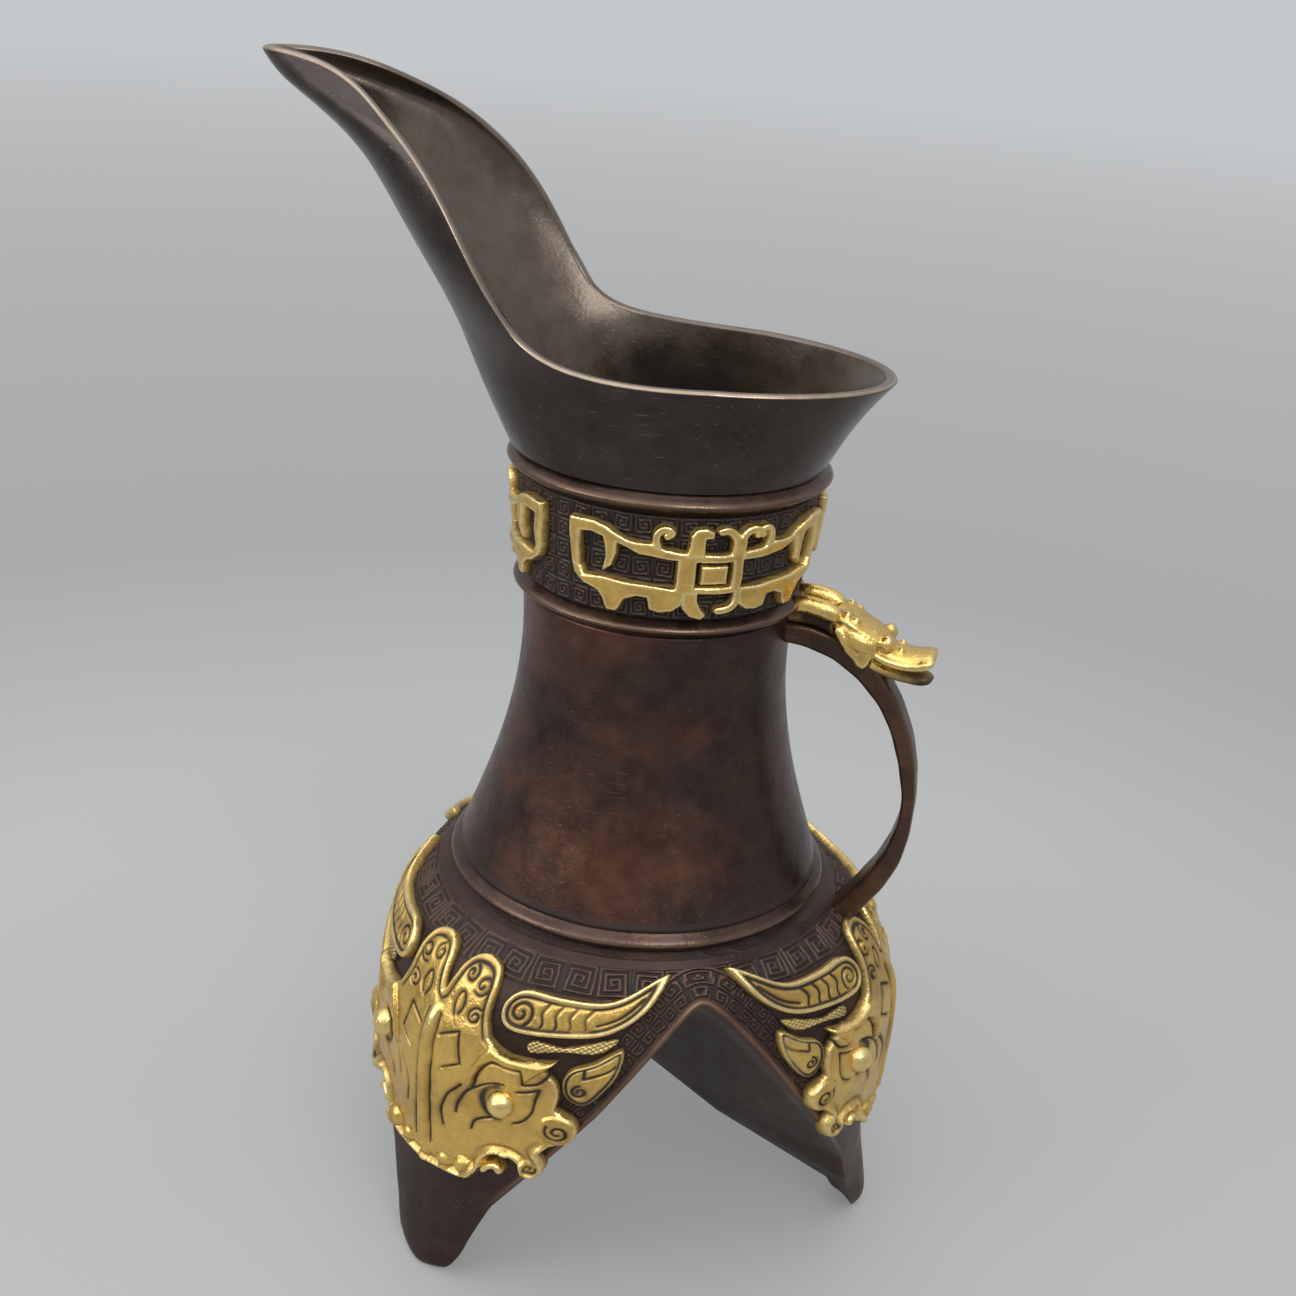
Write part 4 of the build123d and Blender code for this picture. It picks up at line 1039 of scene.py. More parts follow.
def on_leg(plane, proud):
    """Points beside the middle of a leg, raised from its surface along the normal."""
    small, top_margin = 0.4, 0.5
    across, height = plane[:, 0], np.minimum(SHOULDER + plane[:, 1], LEG_TOP - top_margin)
    side = leg_skin(across + small, height) - leg_skin(across - small, height)
    rise = leg_skin(across, height + small) - leg_skin(across, height - small)
    normal = np.cross(side, rise)
    normal /= np.linalg.norm(normal, axis=1, keepdims=True)
    return leg_skin(across, height) + proud[:, None] * normal


def step_up(value, low, high):
    """Smooth change from 0 to 1 between two values."""
    share = np.clip((value - low) / (high - low), 0, 1)
    return share * share * (3 - 2 * share)


def cut_depth(points, lines, breadth):
    """Deepest of some cut lines at each point."""
    return np.max([hump(line_gap(points, line), breadth) for line in lines], axis=0)


def grime(lines, strength, spread):
    """Dirt left beside the cut lines."""
    return strength * np.maximum(lines, TINY) ** spread


def run_points(run):
    """Points along one run of the face's outline, without its last one."""
    return smooth_curve(run, RUN_STEPS)[:-1] if len(run) > 2 else np.array(run[:1])


face_half = np.vstack([run_points(run) for run in FACE_RUNS] + [FACE_BACK])


def face_gap(points):
    """Distance from the face plate, negative inside it."""
    folded = fold(points)
    curl = line_gap(folded, smooth_curve(NOTCH_CURL[1], CURL_STEPS)) - NOTCH_CURL[0]
    return np.minimum(shape_gap(folded, face_half), curl)


def face_relief():
    """The face plate's plane points, faces, height, dark lines with painted shade by the eye, and rubbed
    crests with a painted highlight on the nose.
    """
    points, faces, inside = relief(face_gap, FACE_LOW, FACE_HIGH, FACE_STEP)
    spread = fold(points)
    across, level = spread[:, 0], spread[:, 1]
    shake = SHAKE * np.stack([np.sin(points[:, 1] * SHAKE_DOWN + points[:, 0]),
                              np.sin(points[:, 0] * SHAKE_ACROSS + SHAKE_START)], axis=1)
    lines = cut_depth(spread + shake, FACE_CUTS, LINE_BREADTH)
    forehead = step_up(level, *FOREHEAD_FROM) * step_up(-across, *LOBE_SIDE)
    lines = np.maximum(lines, rim_line(inside, *LOBE_LINE) * forehead)
    low_rim = step_up(-level, *LOW_RIM_DEPTHS)
    lines = np.maximum(lines, rim_line(inside, *LOW_RIM_LINE) * low_rim)
    detail = rim_line(inside, *LOW_RIM_RIDGE) * low_rim
    detail += BROW_PROUD * rounded(np.maximum(-shape_gap(spread, BROW), 0), BROW_EDGE)
    for bump_across, bump_level, size, proud in FACE_BUMPS:
        away = np.hypot(across - bump_across, level - bump_level) / size
        detail += proud * np.sqrt(np.maximum(1 - away**2, 0))
    bulge = hump(across, BULGE_BREADTH) * step_up(level, *BULGE_FROM) * step_up(-level, *BULGE_DEPTHS)
    nose = np.sqrt(np.maximum(1 - (across / NOSE_HALF) ** 2, 0))
    nose = nose * step_up(level, *NOSE_FROM) * step_up(-level, *NOSE_DEPTHS)
    bridge = hump(across, BRIDGE_BREADTH) * hump(level + BRIDGE_DEPTH, BRIDGE_TALL)
    eye_ring = np.hypot(across - EYE_PLACE[0], level - EYE_PLACE[1])
    socket = hump(eye_ring - SOCKET_RADIUS, SOCKET_BREADTH)
    socket = socket * step_up(EYE_PLACE[0] + SOCKET_OPEN - across, 0.0, SOCKET_FADE)
    detail += bulge + NOSE_PROUD * nose + BRIDGE_PROUD * bridge - LINE_DEPTH * lines - SOCKET_DEEP * socket
    plate = MASK_THICKNESS * (1 - LOBE_THINNER * step_up(level, *LOBE_THIN_FROM))
    height = -RIM_UNDER + (plate + RIM_UNDER + detail) * rounded(inside, MASK_EDGE)
    # The socket's mark here is painted shade beside the eye
    recess = np.maximum.reduce([lines, grime(lines, *FACE_GRIME), SOCKET_SHADE * socket,
                                rim_dirt(inside, *FACE_DIRT)])
    # The nose's pale top is a painted highlight
    rub = np.maximum.reduce([rim_line(inside, *FACE_CREST), NOSE_TOP_HIGHLIGHT * nose * step_up(level, *NOSE_HIGHLIGHT_FROM),
                             rim_line(inside, *LOW_RIM_CREST) * low_rim])
    return points, faces, height, recess, rub


def outline_relief(outline, steps):
    """Fine sheet trimmed to a smooth closed outline."""
    shape = smooth_curve(outline, steps, closed=True)
    low, high = shape.min(axis=0) - TRIM_MARGIN, shape.max(axis=0) + TRIM_MARGIN
    return relief(lambda plane: shape_gap(plane, shape), low, high, TRIM_STEP)


def trim_relief(outline, cuts, border):
    """A flat mount with a raised border and chased lines inside it."""
    points, faces, inside = outline_relief(outline, TRIM_STEPS)
    panel = step_up(inside, border + PANEL_FROM, border + PANEL_TO)
    lines = cut_depth(points, cuts, TRIM_LINE_BREADTH) * panel
    lines = np.maximum(lines, rim_line(inside, border, BORDER_LINE_BREADTH))
    full = MASK_THICKNESS + RIM_UNDER - PANEL_DEEP * panel - TRIM_LINE_DEPTH * lines
    height = -RIM_UNDER + full * rounded(inside, MASK_EDGE)
    recess = np.maximum.reduce([lines, grime(lines, *TRIM_GRIME), rim_dirt(inside, *TRIM_DIRT)])
    return points, faces, height, recess, rim_line(inside, *TRIM_CREST)


def lash_relief():
    """Narrow beaded strip between horn and ear."""
    points, faces, inside = outline_relief(LASH, LASH_STEPS)
    beads = (1 + np.sin(points[:, 0] * BEADS_ACROSS) * np.sin(points[:, 1] * BEADS_DOWN)) / 2
    height = -RIM_UNDER + (LASH_THICKNESS + LASH_BEADS * beads) * rounded(inside, LASH_EDGE)
    return points, faces, height, np.maximum(LASH_GAPS * (1 - beads), rim_dirt(inside, *LASH_DIRT)), beads


def eye_bosses():
    """Pair of round bosses set through the plate, each a little more than a half ball."""
    lean = np.linspace(0, pi * EYE_LEAN, EYE_ROWS)
    turn = np.linspace(0, 2 * pi, EYE_COLUMNS, endpoint=False)
    points, faces = [], []
    for side in (1, -1):
        middle = np.array([[side * EYE_PLACE[0], EYE_PLACE[1]]])
        base, tip = (on_leg(middle, np.array([proud]))[0] for proud in (MASK_THICKNESS - EYE_SINK, EYE_AIM))
        out = (tip - base) / np.linalg.norm(tip - base)
        level = np.cross((0.0, 0.0, 1.0), out)
        level /= np.linalg.norm(level)
        rise = np.cross(out, level)
        ring = np.cos(turn)[:, None] * level + np.sin(turn)[:, None] * rise
        ball = np.sin(lean)[:, None, None] * ring + EYE_TALL * np.cos(lean)[:, None, None] * out
        start = sum(len(part) for part in points)
        points.append((base + EYE_RADIUS * ball).reshape(-1, 3))
        faces += (grid_faces(EYE_ROWS, EYE_COLUMNS, closed=True) + start).tolist()
        faces.append([start + (EYE_ROWS - 1) * EYE_COLUMNS + index for index in range(EYE_COLUMNS)])
    return np.vstack(points), faces


def add_mount(name, parts, leg, flip, nodes):
    """One gilt mount laid on a leg; flip gives the other one of a pair."""
    points, faces, height, recess, rub = parts
    if flip:
        points, faces = points * (-1, 1), faces[:, ::-1]
    placed = np.vstack([on_leg(points, height), on_leg(points, np.full(len(points), -SUNK))])
    add_piece(name, turned_about_axis(placed, LEG_TURNS[leg]), faces, mask_gilt, nodes,
              recess, rub)


face_parts = face_relief()
horn_parts, ear_parts = trim_relief(HORN, HORN_CUTS, HORN_BORDER), trim_relief(EAR, EAR_CUTS, EAR_BORDER)
lash_parts = lash_relief()
eye_points, eye_faces = eye_bosses()
for leg_name, leg_turn in LEG_TURNS.items():
    add_mount("gilt_face_" + leg_name, face_parts, leg_name, False, ["mask_face_" + leg_name])
    add_piece("gilt_eyes_" + leg_name, turned_about_axis(eye_points, leg_turn), eye_faces, mask_gilt,
              ["mask_eyes_" + leg_name], 0.0, EYE_RUB, WELD)
    for side_name, side_flip in (("left", False), ("right", True)):
        place = side_name + "_" + leg_name
        add_mount("gilt_horn_" + place, horn_parts, leg_name, side_flip, ["mask_horn_" + place])
        add_mount("gilt_ear_" + place, ear_parts, leg_name, side_flip, ["mask_ear_" + place])
        add_mount("gilt_lash_" + place, lash_parts, leg_name, side_flip, [])

# Handle strap
# A strap of brown bronze bent down from the neck to the shoulder of one leg and soldered at both ends.
# Its edges are rounded by use, and its wide faces are slightly hammered.

STRAP_HALF_WIDTH = 3.5
STRAP_INNER = [(18.6, 111.0), (29.0, 109.6), (36.0, 105.3), (44.2, 89.0), (45.0, 84.5), (43.4, 77.0),
               (38.3, 67.8), (28.6, 54.0)]
STRAP_OUTER = [(18.6, 114.5), (27.6, 114.2), (37.2, 109.8), (47.4, 91.5), (48.2, 82.5), (47.2, 71.2),
               (42.35, 62.0), (34.6, 50.0)]
STRAP_SAMPLES, STRAP_ROWS, STRAP_COLUMNS = 900, 240, 64
# Radius at which the strap starts in the barrel's wall, and how deep it ends in the leg's wall
STRAP_SEAT, STRAP_DEEP = 21.3, 1.3
# The lower the power, the squarer the section
SECTION_POWER = 0.42
# Width: where on the run the flare at the foot sets in, share of the full width before it, and how much more;
# then where slow waves set in, their size, and their radians over the run
FLARE_FROM, FLARE_BASE, FLARE_MORE = (0.93, 1.0), 0.9, 0.12
WAVER_FROM, WAVER_SIZE, WAVER_ANGLE = (0.2, 0.3), 0.08, 9
# Share of the thickness taken off, and the stretch of the strap's run in which that happens
THIN_STRETCHES = [(0.24, 0.2, 0.4), (0.16, 0.6, 0.85)]
# Hammer marks: size, radians over the run, waves round the strap, and how far round they wind in radians
HAMMER_SIZE, HAMMER_ALONG, HAMMER_ROUND, HAMMER_WIND = 0.05, 31, 2, 40
# Wear on the rounded edges and how narrow it is, soot at the two joints, and where those lie on the run
STRAP_RUB, STRAP_RUB_POWER, SEAT_SOOT = 0.45, 6, 0.8
FOOT_SEAT_FROM, HEAD_SEAT_TO = (0.95, 1.0), (-0.03, 0.0)
strap_bronze = finish_material(
    "strap_bronze", patina, bump=0.3, Warmth=0.8, Gloss=0.34,
    Dark=(0.06, 0.034, 0.024, 1), Warm=(0.15, 0.075, 0.04, 1), Bare=(0.42, 0.27, 0.13, 1))


def strap_edge(points):
    """One edge of the strap from inside the barrel's wall to just inside the leg's wall."""
    line = smooth_curve(points, STRAP_SAMPLES)
    outside_leg = (line[:, 1] > LEG_TOP) | (line[:, 0] > pouch_radius(0.0, line[:, 1]) - STRAP_DEEP)
    line = line[(line[:, 0] > STRAP_SEAT) & outside_leg]
    along = np.concatenate([[0.0], np.cumsum(np.hypot(*np.diff(line, axis=0).T))])
    even = np.linspace(0, along[-1], STRAP_ROWS)
    return np.stack([np.interp(even, along, line[:, 0]), np.interp(even, along, line[:, 1])], axis=1)


def squared(wave):
    """Wave with its crests flattened, for a rounded square."""
    return np.sign(wave) * np.abs(wave) ** SECTION_POWER


def tube_faces(rows, columns):
    """Faces of a grid that closes on itself, with a cap at each end."""
    faces = grid_faces(rows, columns, closed=True).tolist()
    faces.append(list(range(columns))[::-1])
    faces.append([(rows - 1) * columns + index for index in range(columns)])
    return faces


strap_in, strap_out = strap_edge(STRAP_INNER), strap_edge(STRAP_OUTER)
strap_turn = np.linspace(0, 2 * pi, STRAP_COLUMNS, endpoint=False)
strap_run = np.linspace(0, 1, STRAP_ROWS)[:, None]
strap_side, strap_lift = squared(np.cos(strap_turn)), squared(np.sin(strap_turn))
strap_waves = WAVER_SIZE * np.sin(WAVER_ANGLE * strap_run) * step_up(strap_run, *WAVER_FROM)
strap_flare = FLARE_BASE + FLARE_MORE * step_up(strap_run, *FLARE_FROM) + strap_waves
strap_thin = 1 - sum(less * step_up(strap_run, start, stop) for less, start, stop in THIN_STRETCHES)
strap_half = (strap_out - strap_in) / 2 * strap_thin
hammer = np.sin(HAMMER_ALONG * strap_run) * np.sin(HAMMER_ROUND * strap_turn + HAMMER_WIND * strap_run)
strap_lift_out = strap_lift * (1 + HAMMER_SIZE * hammer)
strap_flat = ((strap_in + strap_out) / 2)[:, None] + strap_half[:, None] * strap_lift_out[..., None]
strap_across = STRAP_HALF_WIDTH * strap_flare * strap_side
strap_points = np.stack([strap_flat[..., 0], strap_across, strap_flat[..., 1]], axis=-1)
strap_rub = STRAP_RUB * np.abs(strap_side * strap_lift) ** STRAP_RUB_POWER
strap_seats = step_up(strap_run, *FOOT_SEAT_FROM) + step_up(-strap_run, *HEAD_SEAT_TO)
add_piece("bent_strap", strap_points, tube_faces(STRAP_ROWS, STRAP_COLUMNS), strap_bronze,
          ["handle_strap"], SEAT_SOOT * strap_seats * np.ones(STRAP_COLUMNS), strap_rub, WELD)

# Beast head on the handle
# A gilt dragon head and neck cast in one and soldered along the top of the strap, biting outwards.
# Two horns lie back along the neck; the mane ends in a scroll behind the lip, and the jaw is dark brown
# underneath.

head_gilt = finish_material("head_gilt", gilding, bump=0.25, Wear=0.6, Gloss=0.24)
# Size of the skin's cells, rounds of smoothing for its points and its hollows, and strength of the marks
HEAD_STEP, POINT_ROUNDS, HOLLOW_ROUNDS, HOLLOW_SHOWN = 0.2, 7, 3, 9
MIDDLE_STEPS, MIDDLE_AROUND, PAIRED_STEPS, PAIRED_AROUND, BALL_STEPS, BALL_AROUND = 60, 40, 50, 28, 15, 20
# A ball ends just short of its poles; every form is drawn in over some rows at each end, from a small start
BALL_END = 0.999
END_ROWS, END_START = 6, 0.08
# Dark brown under a height: strength, that height, and over what fall; on the neck also how far out it goes
JAW_BROWN, JAW_LEVEL, JAW_FALL = 0.65, 109.6, 1.6
# On the neck this darkening under the horns is painted shade
NECK_SHADE, NECK_LEVEL, NECK_FALL, NECK_END, NECK_FADE = 0.85, 117.0, 0.6, 30.4, 1.0
CREASE_END, CREASE_FADE = 45.0, 1.5
# Stations along each middle part: distance out, height, half width and half height
NECK = [(20.6, 115.6, 2.8, 1.9), (25.0, 115.8, 2.8, 1.7), (29.0, 115.5, 3.4, 2.0), (33.0, 114.2, 4.3, 2.6),
        (37.0, 112.3, 4.3, 2.6), (41.0, 110.9, 3.4, 1.9)]
FOREHEAD = [(30.0, 117.1, 3.3, 1.0), (32.0, 116.7, 4.4, 1.2), (35.0, 115.3, 4.6, 1.2),
            (38.0, 113.8, 4.1, 1.2), (40.0, 112.9, 3.2, 0.9)]
SNOUT = [(38.0, 112.0, 3.9, 1.5), (41.0, 111.4, 3.8, 1.2), (44.0, 111.2, 3.5, 1.0), (46.4, 111.6, 3.3, 0.95),
         (47.7, 112.0, 3.1, 0.7)]
JAW = [(36.0, 109.6, 3.2, 1.6), (40.0, 108.3, 3.0, 1.4), (44.0, 107.5, 2.5, 1.15), (46.6, 107.6, 2.0, 1.0),
       (47.7, 108.0, 1.2, 0.6)]
# Stations along each paired part: distance out, distance to the side, height and radius
HORN_BACK = [(21.4, 3.0, 117.4, 1.0), (23.5, 3.0, 118.1, 1.45), (26.5, 3.0, 118.2, 1.6),
             (29.5, 3.0, 117.5, 1.6), (31.4, 2.9, 116.8, 1.2)]
MANE = [(30.4, 3.9, 115.9, 0.9), (32.2, 4.5, 113.9, 1.0), (33.6, 4.7, 112.0, 0.95), (34.9, 4.7, 110.8, 0.85),
        (36.3, 4.6, 110.9, 0.75), (36.6, 4.6, 112.0, 0.65), (35.7, 4.6, 112.3, 0.55)]
CHEEK = [(31.0, 3.0, 115.9, 1.4), (33.4, 3.4, 114.2, 1.9), (35.6, 3.5, 113.2, 1.8), (38.0, 3.3, 112.6, 1.2)]
LIP = [(36.2, 4.1, 112.6, 0.5), (38.6, 4.2, 111.3, 0.7), (41.5, 3.9, 110.5, 0.75), (44.5, 3.5, 110.5, 0.75),
       (46.8, 3.1, 111.3, 0.7), (47.6, 2.6, 111.8, 0.5)]
# Round bosses: distance out, distance to the side, height and radius
HEAD_BALLS = [(39.3, 2.8, 113.6, 1.5), (37.1, 2.5, 114.9, 0.7), (32.3, 2.9, 117.4, 0.95),
              (33.8, 3.0, 116.7, 0.85), (41.7, 1.9, 112.4, 0.65), (35.4, 4.0, 111.6, 1.3)]


def oval_tube(path, wide, tall, around):
    """Closed tube through points, with an upright oval section and rounded ends."""
    ahead = np.gradient(path, axis=0)
    ahead /= np.linalg.norm(ahead, axis=1, keepdims=True)
    side = np.cross((0.0, 0.0, 1.0), ahead)
    side /= np.maximum(np.linalg.norm(side, axis=1, keepdims=True), TINY)
    rise = np.cross(ahead, side)
    ends = np.sin(np.linspace(END_START, 1, END_ROWS) * pi / 2)
    shrink = np.ones(len(path))
    shrink[:END_ROWS], shrink[-END_ROWS:] = ends, ends[::-1]
    turn = np.linspace(0, 2 * pi, around, endpoint=False)
    ring = (wide * shrink)[:, None, None] * np.cos(turn)[:, None] * side[:, None]
    ring = ring + (tall * shrink)[:, None, None] * np.sin(turn)[:, None] * rise[:, None]
    return (path[:, None] + ring).reshape(-1, 3), tube_faces(len(path), around)


def head_shapes():
    """All the overlapping closed forms that the head is made of."""
    for stations in (NECK, FOREHEAD, SNOUT, JAW):
        out, height, wide, tall = smooth_curve(stations, MIDDLE_STEPS).T
        yield oval_tube(np.stack([out, 0 * out, height], axis=1), wide, tall, MIDDLE_AROUND)
    for side in (1, -1):
        for stations in (HORN_BACK, CHEEK, MANE, LIP):
            line = smooth_curve(stations, PAIRED_STEPS)
            yield oval_tube(line[:, :3] * (1, side, 1), line[:, 3], line[:, 3], PAIRED_AROUND)
        for out, away, height, radius in HEAD_BALLS:
            line = np.linspace(-BALL_END, BALL_END, BALL_STEPS)
            path = np.array([out, side * away, height]) + radius * line[:, None] * (1.0, 0.0, 0.0)
            girth = radius * np.sqrt(1 - line**2)
            yield oval_tube(path, girth, girth, BALL_AROUND)


def joined_skin(shapes, step):
    """One closed skin round overlapping forms, smoothed: points, faces and how hollow each point lies."""
    points, faces = [], []
    for shape_points, shape_faces in shapes:
        start = sum(len(part) for part in points)
        points.append(shape_points)
        faces += [[corner + start for corner in face] for face in shape_faces]
    rough = bpy.data.meshes.new("head_forms")
    rough.from_pydata((np.vstack(points) * MM).tolist(), [], faces)
    holder = bpy.data.objects.new("head_forms", rough)
    bpy.context.scene.collection.objects.link(holder)
    remesh = holder.modifiers.new("skin", "REMESH")
    remesh.mode = "VOXEL"
    remesh.voxel_size = step * MM
    skin = holder.evaluated_get(bpy.context.evaluated_depsgraph_get()).to_mesh()
    count = len(skin.vertices)
    skin_points = np.empty(count * 3)
    skin.vertices.foreach_get("co", skin_points)
    skin_points = skin_points.reshape(-1, 3) / MM
    edges = np.empty(len(skin.edges) * 2, int)
    skin.edges.foreach_get("vertices", edges)
    edges = edges.reshape(-1, 2)
    skin_faces = [list(face.vertices) for face in skin.polygons]
    bpy.data.objects.remove(holder)
    degree = np.bincount(edges.ravel(), minlength=count)[:, None]

    def neighbours(values):
        """Mean of each point's neighbours."""
        total = np.zeros_like(values)
        np.add.at(total, edges[:, 0], values[edges[:, 1]])
        np.add.at(total, edges[:, 1], values[edges[:, 0]])
        return total / degree

    for _ in range(POINT_ROUNDS):
        skin_points = skin_points + (neighbours(skin_points) - skin_points) / 2
    quads = np.array([face for face in skin_faces if len(face) == 4])
    first, second, third, fourth = (skin_points[corner] for corner in quads.T)
    flat = np.cross(third - first, fourth - second)
    normal = np.zeros_like(skin_points)
    for corner in quads.T:
        np.add.at(normal, corner, flat)
    normal /= np.maximum(np.linalg.norm(normal, axis=1, keepdims=True), TINY)
    hollow = ((neighbours(skin_points) - skin_points) * normal).sum(axis=1, keepdims=True)
    for _ in range(HOLLOW_ROUNDS):
        hollow = (hollow + neighbours(hollow)) / 2
    return skin_points, skin_faces, hollow.ravel() / step


head_points, head_faces, head_hollow = joined_skin(head_shapes(), HEAD_STEP)
head_out, head_level = head_points[:, 0], head_points[:, 2]
jaw_brown = JAW_BROWN * step_up(JAW_LEVEL - head_level, 0.0, JAW_FALL)
# Painted shade on the lower neck under the horns
neck_shade = NECK_SHADE * step_up(NECK_LEVEL - head_level, 0.0, NECK_FALL)
neck_shade = neck_shade * step_up(NECK_END - head_out, 0.0, NECK_FADE)
crease = np.clip(head_hollow * HOLLOW_SHOWN, 0, 1) * step_up(CREASE_END - head_out, 0.0, CREASE_FADE)
add_piece("dragon_head_and_neck", head_points, head_faces, head_gilt, ["dragon_head"],
          np.maximum.reduce([crease, jaw_brown, neck_shade]), np.clip(-head_hollow * HOLLOW_SHOWN, 0, 1))

# Studio
# A pale floor that runs out behind the vessel, soft light from above and both sides, and a camera with the
# photograph's view.

PHOTO_WIDTH = 1296
FOCAL_PIXELS = 1700
SENSOR_WIDTH = 36.0
CAMERA_AWAY, CAMERA_UP = 268.8, 219.2
CAMERA_PITCH, CAMERA_YAW, CAMERA_ROLL, CAMERA_SWING = 23.05, -0.23, 4.79, 11.16
# Lengths from here to the lamps are in metres
NEAREST_SEEN = 0.01
FLOOR_SIZE = 16.0
FLOOR_DROP = 0.0001
# Distances from the vessel at which the lit floor gives way to the backdrop and the backdrop pales
FLOOR_ENDS = (0.17, 0.34)
BACKDROP_PALES = (0.35, 2.4)
# Place, aim and size of each lamp in metres, and its power in watts
LAMPS = {
    "overhead_lamp": ((-0.3, -0.2, 1.1), (0, 0, 0.08), 1.8, 8.8),
    "left_lamp": ((-0.9, -0.7, 0.6), (0, 0, 0.1), 0.6, 3.2),
    "right_lamp": ((0.5, -0.72, 1.0), (0, 0, 0.1), 0.5, 4.0),
}
FLOOR_DARK, FLOOR_LIGHT = (0.232, 0.235, 0.232, 1), (0.244, 0.247, 0.244, 1)
# The floor's glow is painted light that lifts the shadows on it
FLOOR_PAINTED_GLOW = (0.175, 0.176, 0.174, 1)
# Painted glow that lightens the floor's shadows: its strength in the light it sheds, and where it is seen
# directly or mirrored
PAINTED_GLOW_SHED, PAINTED_GLOW_SEEN = 0.3, 1.0
BACKDROP_NEAR, BACKDROP_FAR = (0.4, 0.405, 0.415, 1), (0.56, 0.575, 0.59, 1)
SKY_LOW, SKY_HIGH, SKY_RANGE = (0.24, 0.245, 0.25, 1), (0.86, 0.88, 0.9, 1), (-0.2, 0.9)

floor_paint = bpy.data.materials.new("studio_floor")
floor_paint.use_nodes = True
floor_tree = floor_paint.node_tree
floor_shader = floor_tree.nodes["Principled BSDF"]
floor_shader.inputs["Roughness"].default_value = 0.6
# Painted light: the floor glows to lighten its shadows
floor_shader.inputs["Emission Color"].default_value = FLOOR_PAINTED_GLOW
floor_place = floor_tree.nodes.new("ShaderNodeTexCoord").outputs["Object"]
floor_cloud = between(floor_tree, noise(floor_tree, floor_place, scale=6.0, detail=3.0), low=0.35, high=0.65)
feed(floor_tree, floor_shader.inputs["Base Color"], mixed(floor_tree, floor_cloud, FLOOR_DARK, FLOOR_LIGHT))
floor_away = add_node(floor_tree, "ShaderNodeVectorMath", {"operation": "LENGTH"}, Vector=floor_place)
floor_away = floor_away.outputs["Value"]
paling = between(floor_tree, floor_away, *BACKDROP_PALES)
backdrop_colour = mixed(floor_tree, paling, BACKDROP_NEAR, BACKDROP_FAR)
backdrop = add_node(floor_tree, "ShaderNodeEmission", Color=backdrop_colour)
ray = floor_tree.nodes.new("ShaderNodeLightPath").outputs
seen = reckon(floor_tree, "MAXIMUM", ray["Is Camera Ray"], ray["Is Glossy Ray"])
floor_painted_glow = between(floor_tree, seen, 0, 1, PAINTED_GLOW_SHED, PAINTED_GLOW_SEEN)
feed(floor_tree, floor_shader.inputs["Emission Strength"], floor_painted_glow)
far = reckon(floor_tree, "MULTIPLY", between(floor_tree, floor_away, *FLOOR_ENDS), seen)
floor_mix = floor_tree.nodes.new("ShaderNodeMixShader")
for index, value in enumerate((far, floor_shader.outputs[0], backdrop.outputs[0])):
    feed(floor_tree, floor_mix.inputs[index], value)
feed(floor_tree, floor_tree.nodes["Material Output"].inputs["Surface"], floor_mix.outputs[0])

floor_mesh = bpy.data.meshes.new("studio_floor")
half_floor = FLOOR_SIZE / 2
floor_signs = ((-1, -1), (1, -1), (1, 1), (-1, 1))
floor_corners = [(x * half_floor, y * half_floor, -FLOOR_DROP) for x, y in floor_signs]
floor_mesh.from_pydata(floor_corners, [], [(0, 1, 2, 3)])
floor_mesh.materials.append(floor_paint)
floor = bpy.data.objects.new("studio_floor", floor_mesh)
bpy.context.scene.collection.objects.link(floor)

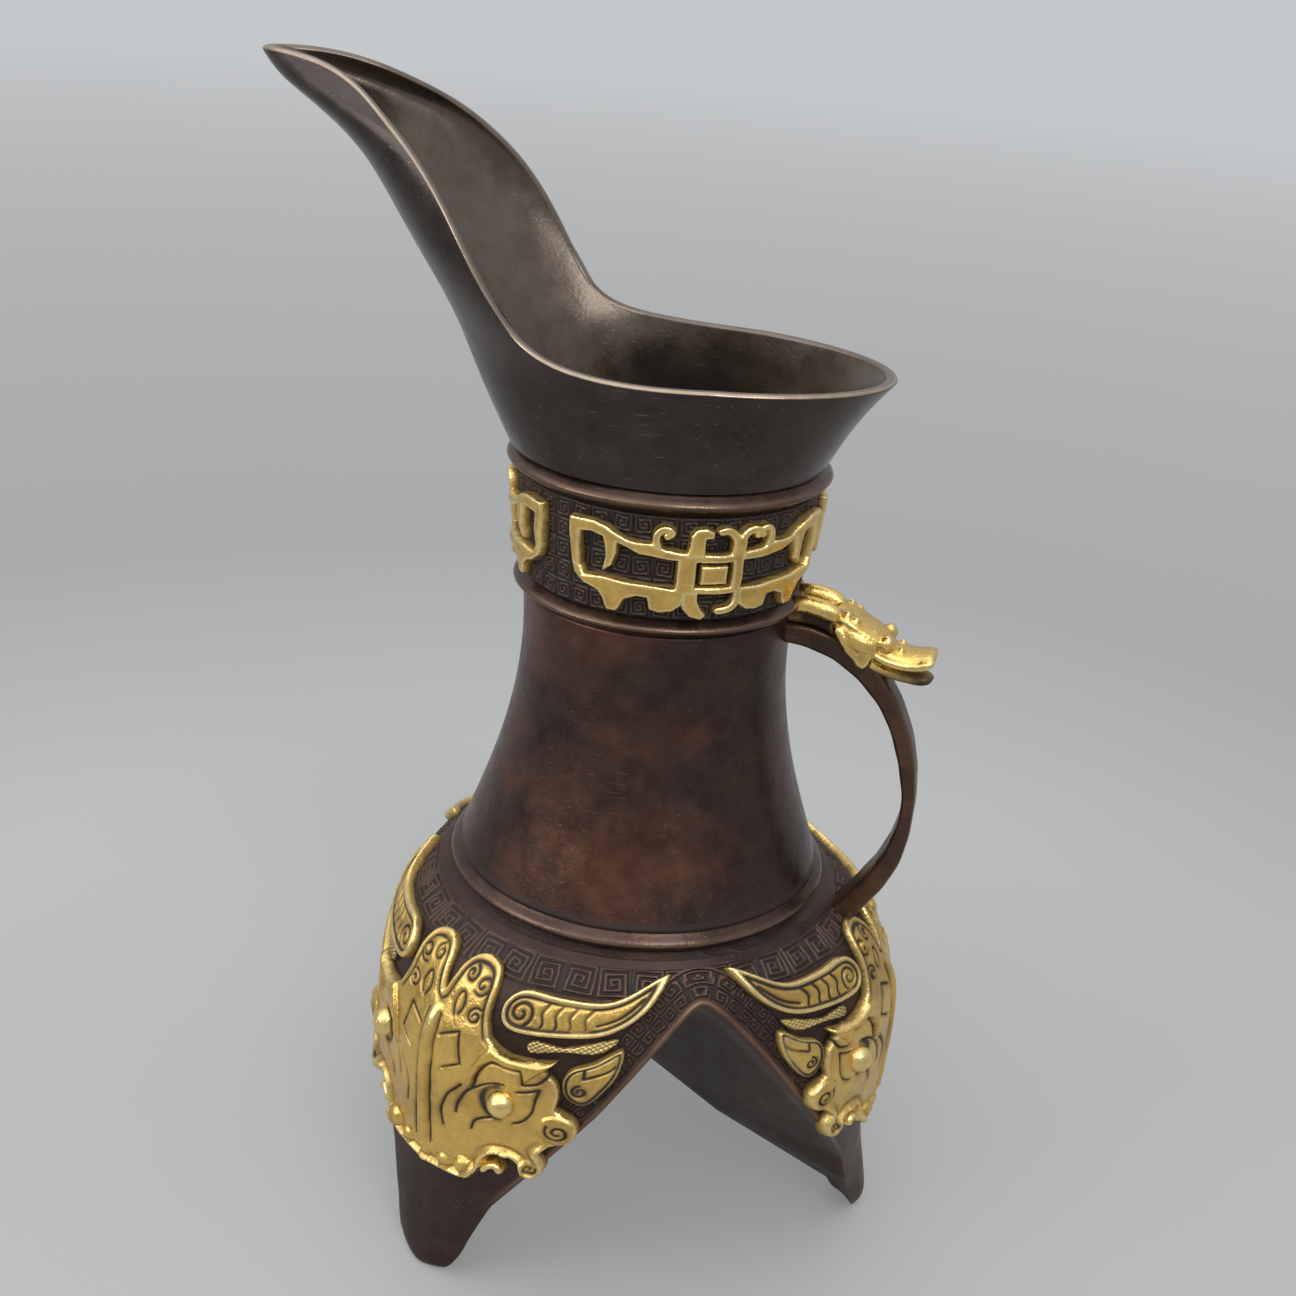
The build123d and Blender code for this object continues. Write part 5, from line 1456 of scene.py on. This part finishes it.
for lamp_name, (lamp_place, lamp_aim, lamp_size, lamp_power) in LAMPS.items():
    lamp = bpy.data.lights.new(lamp_name, "AREA")
    lamp.size = lamp_size
    lamp.energy = lamp_power
    holder = bpy.data.objects.new(lamp_name, lamp)
    holder.location = lamp_place
    holder.rotation_mode = "QUATERNION"
    holder.rotation_quaternion = (Vector(lamp_aim) - Vector(lamp_place)).to_track_quat("-Z", "Y")
    bpy.context.scene.collection.objects.link(holder)

world = bpy.data.worlds.new("studio_air")
bpy.context.scene.world = world
world.use_nodes = True
sky = world.node_tree
sky_place = sky.nodes.new("ShaderNodeTexCoord").outputs["Generated"]
upward = add_node(sky, "ShaderNodeSeparateXYZ", Vector=sky_place)
sky_colour = mixed(sky, between(sky, upward.outputs["Z"], *SKY_RANGE), SKY_LOW, SKY_HIGH)
sky_seen = sky.nodes.new("ShaderNodeLightPath").outputs["Is Camera Ray"]
feed(sky, sky.nodes["Background"].inputs["Color"], mixed(sky, sky_seen, sky_colour, BACKDROP_FAR))

pitch, yaw, roll, swing = (radians(angle) for angle in (CAMERA_PITCH, CAMERA_YAW, CAMERA_ROLL, CAMERA_SWING))
forward = Vector((sin(yaw) * cos(pitch), cos(yaw) * cos(pitch), -sin(pitch)))
level_right = forward.cross(Vector((0, 0, 1))).normalized()
level_up = level_right.cross(forward)
image_right = cos(roll) * level_right + sin(roll) * level_up
image_up = -sin(roll) * level_right + cos(roll) * level_up
camera_axes = Matrix((image_right, image_up, -forward)).transposed()
about_axis = Matrix.Rotation(swing, 3, "Z")
camera_data = bpy.data.cameras.new("photo_camera")
camera_data.sensor_width = SENSOR_WIDTH
camera_data.lens = FOCAL_PIXELS / PHOTO_WIDTH * SENSOR_WIDTH
camera_data.clip_start = NEAREST_SEEN
camera = bpy.data.objects.new("photo_camera", camera_data)
eye = about_axis @ Vector((0, -CAMERA_AWAY, CAMERA_UP)) + Vector((AXIS_X, 0, 0))
camera.matrix_world = Matrix.Translation(eye * MM) @ (about_axis @ camera_axes).to_4x4()
bpy.context.scene.collection.objects.link(camera)
bpy.context.scene.camera = camera
bpy.context.scene.view_settings.view_transform = "Standard"
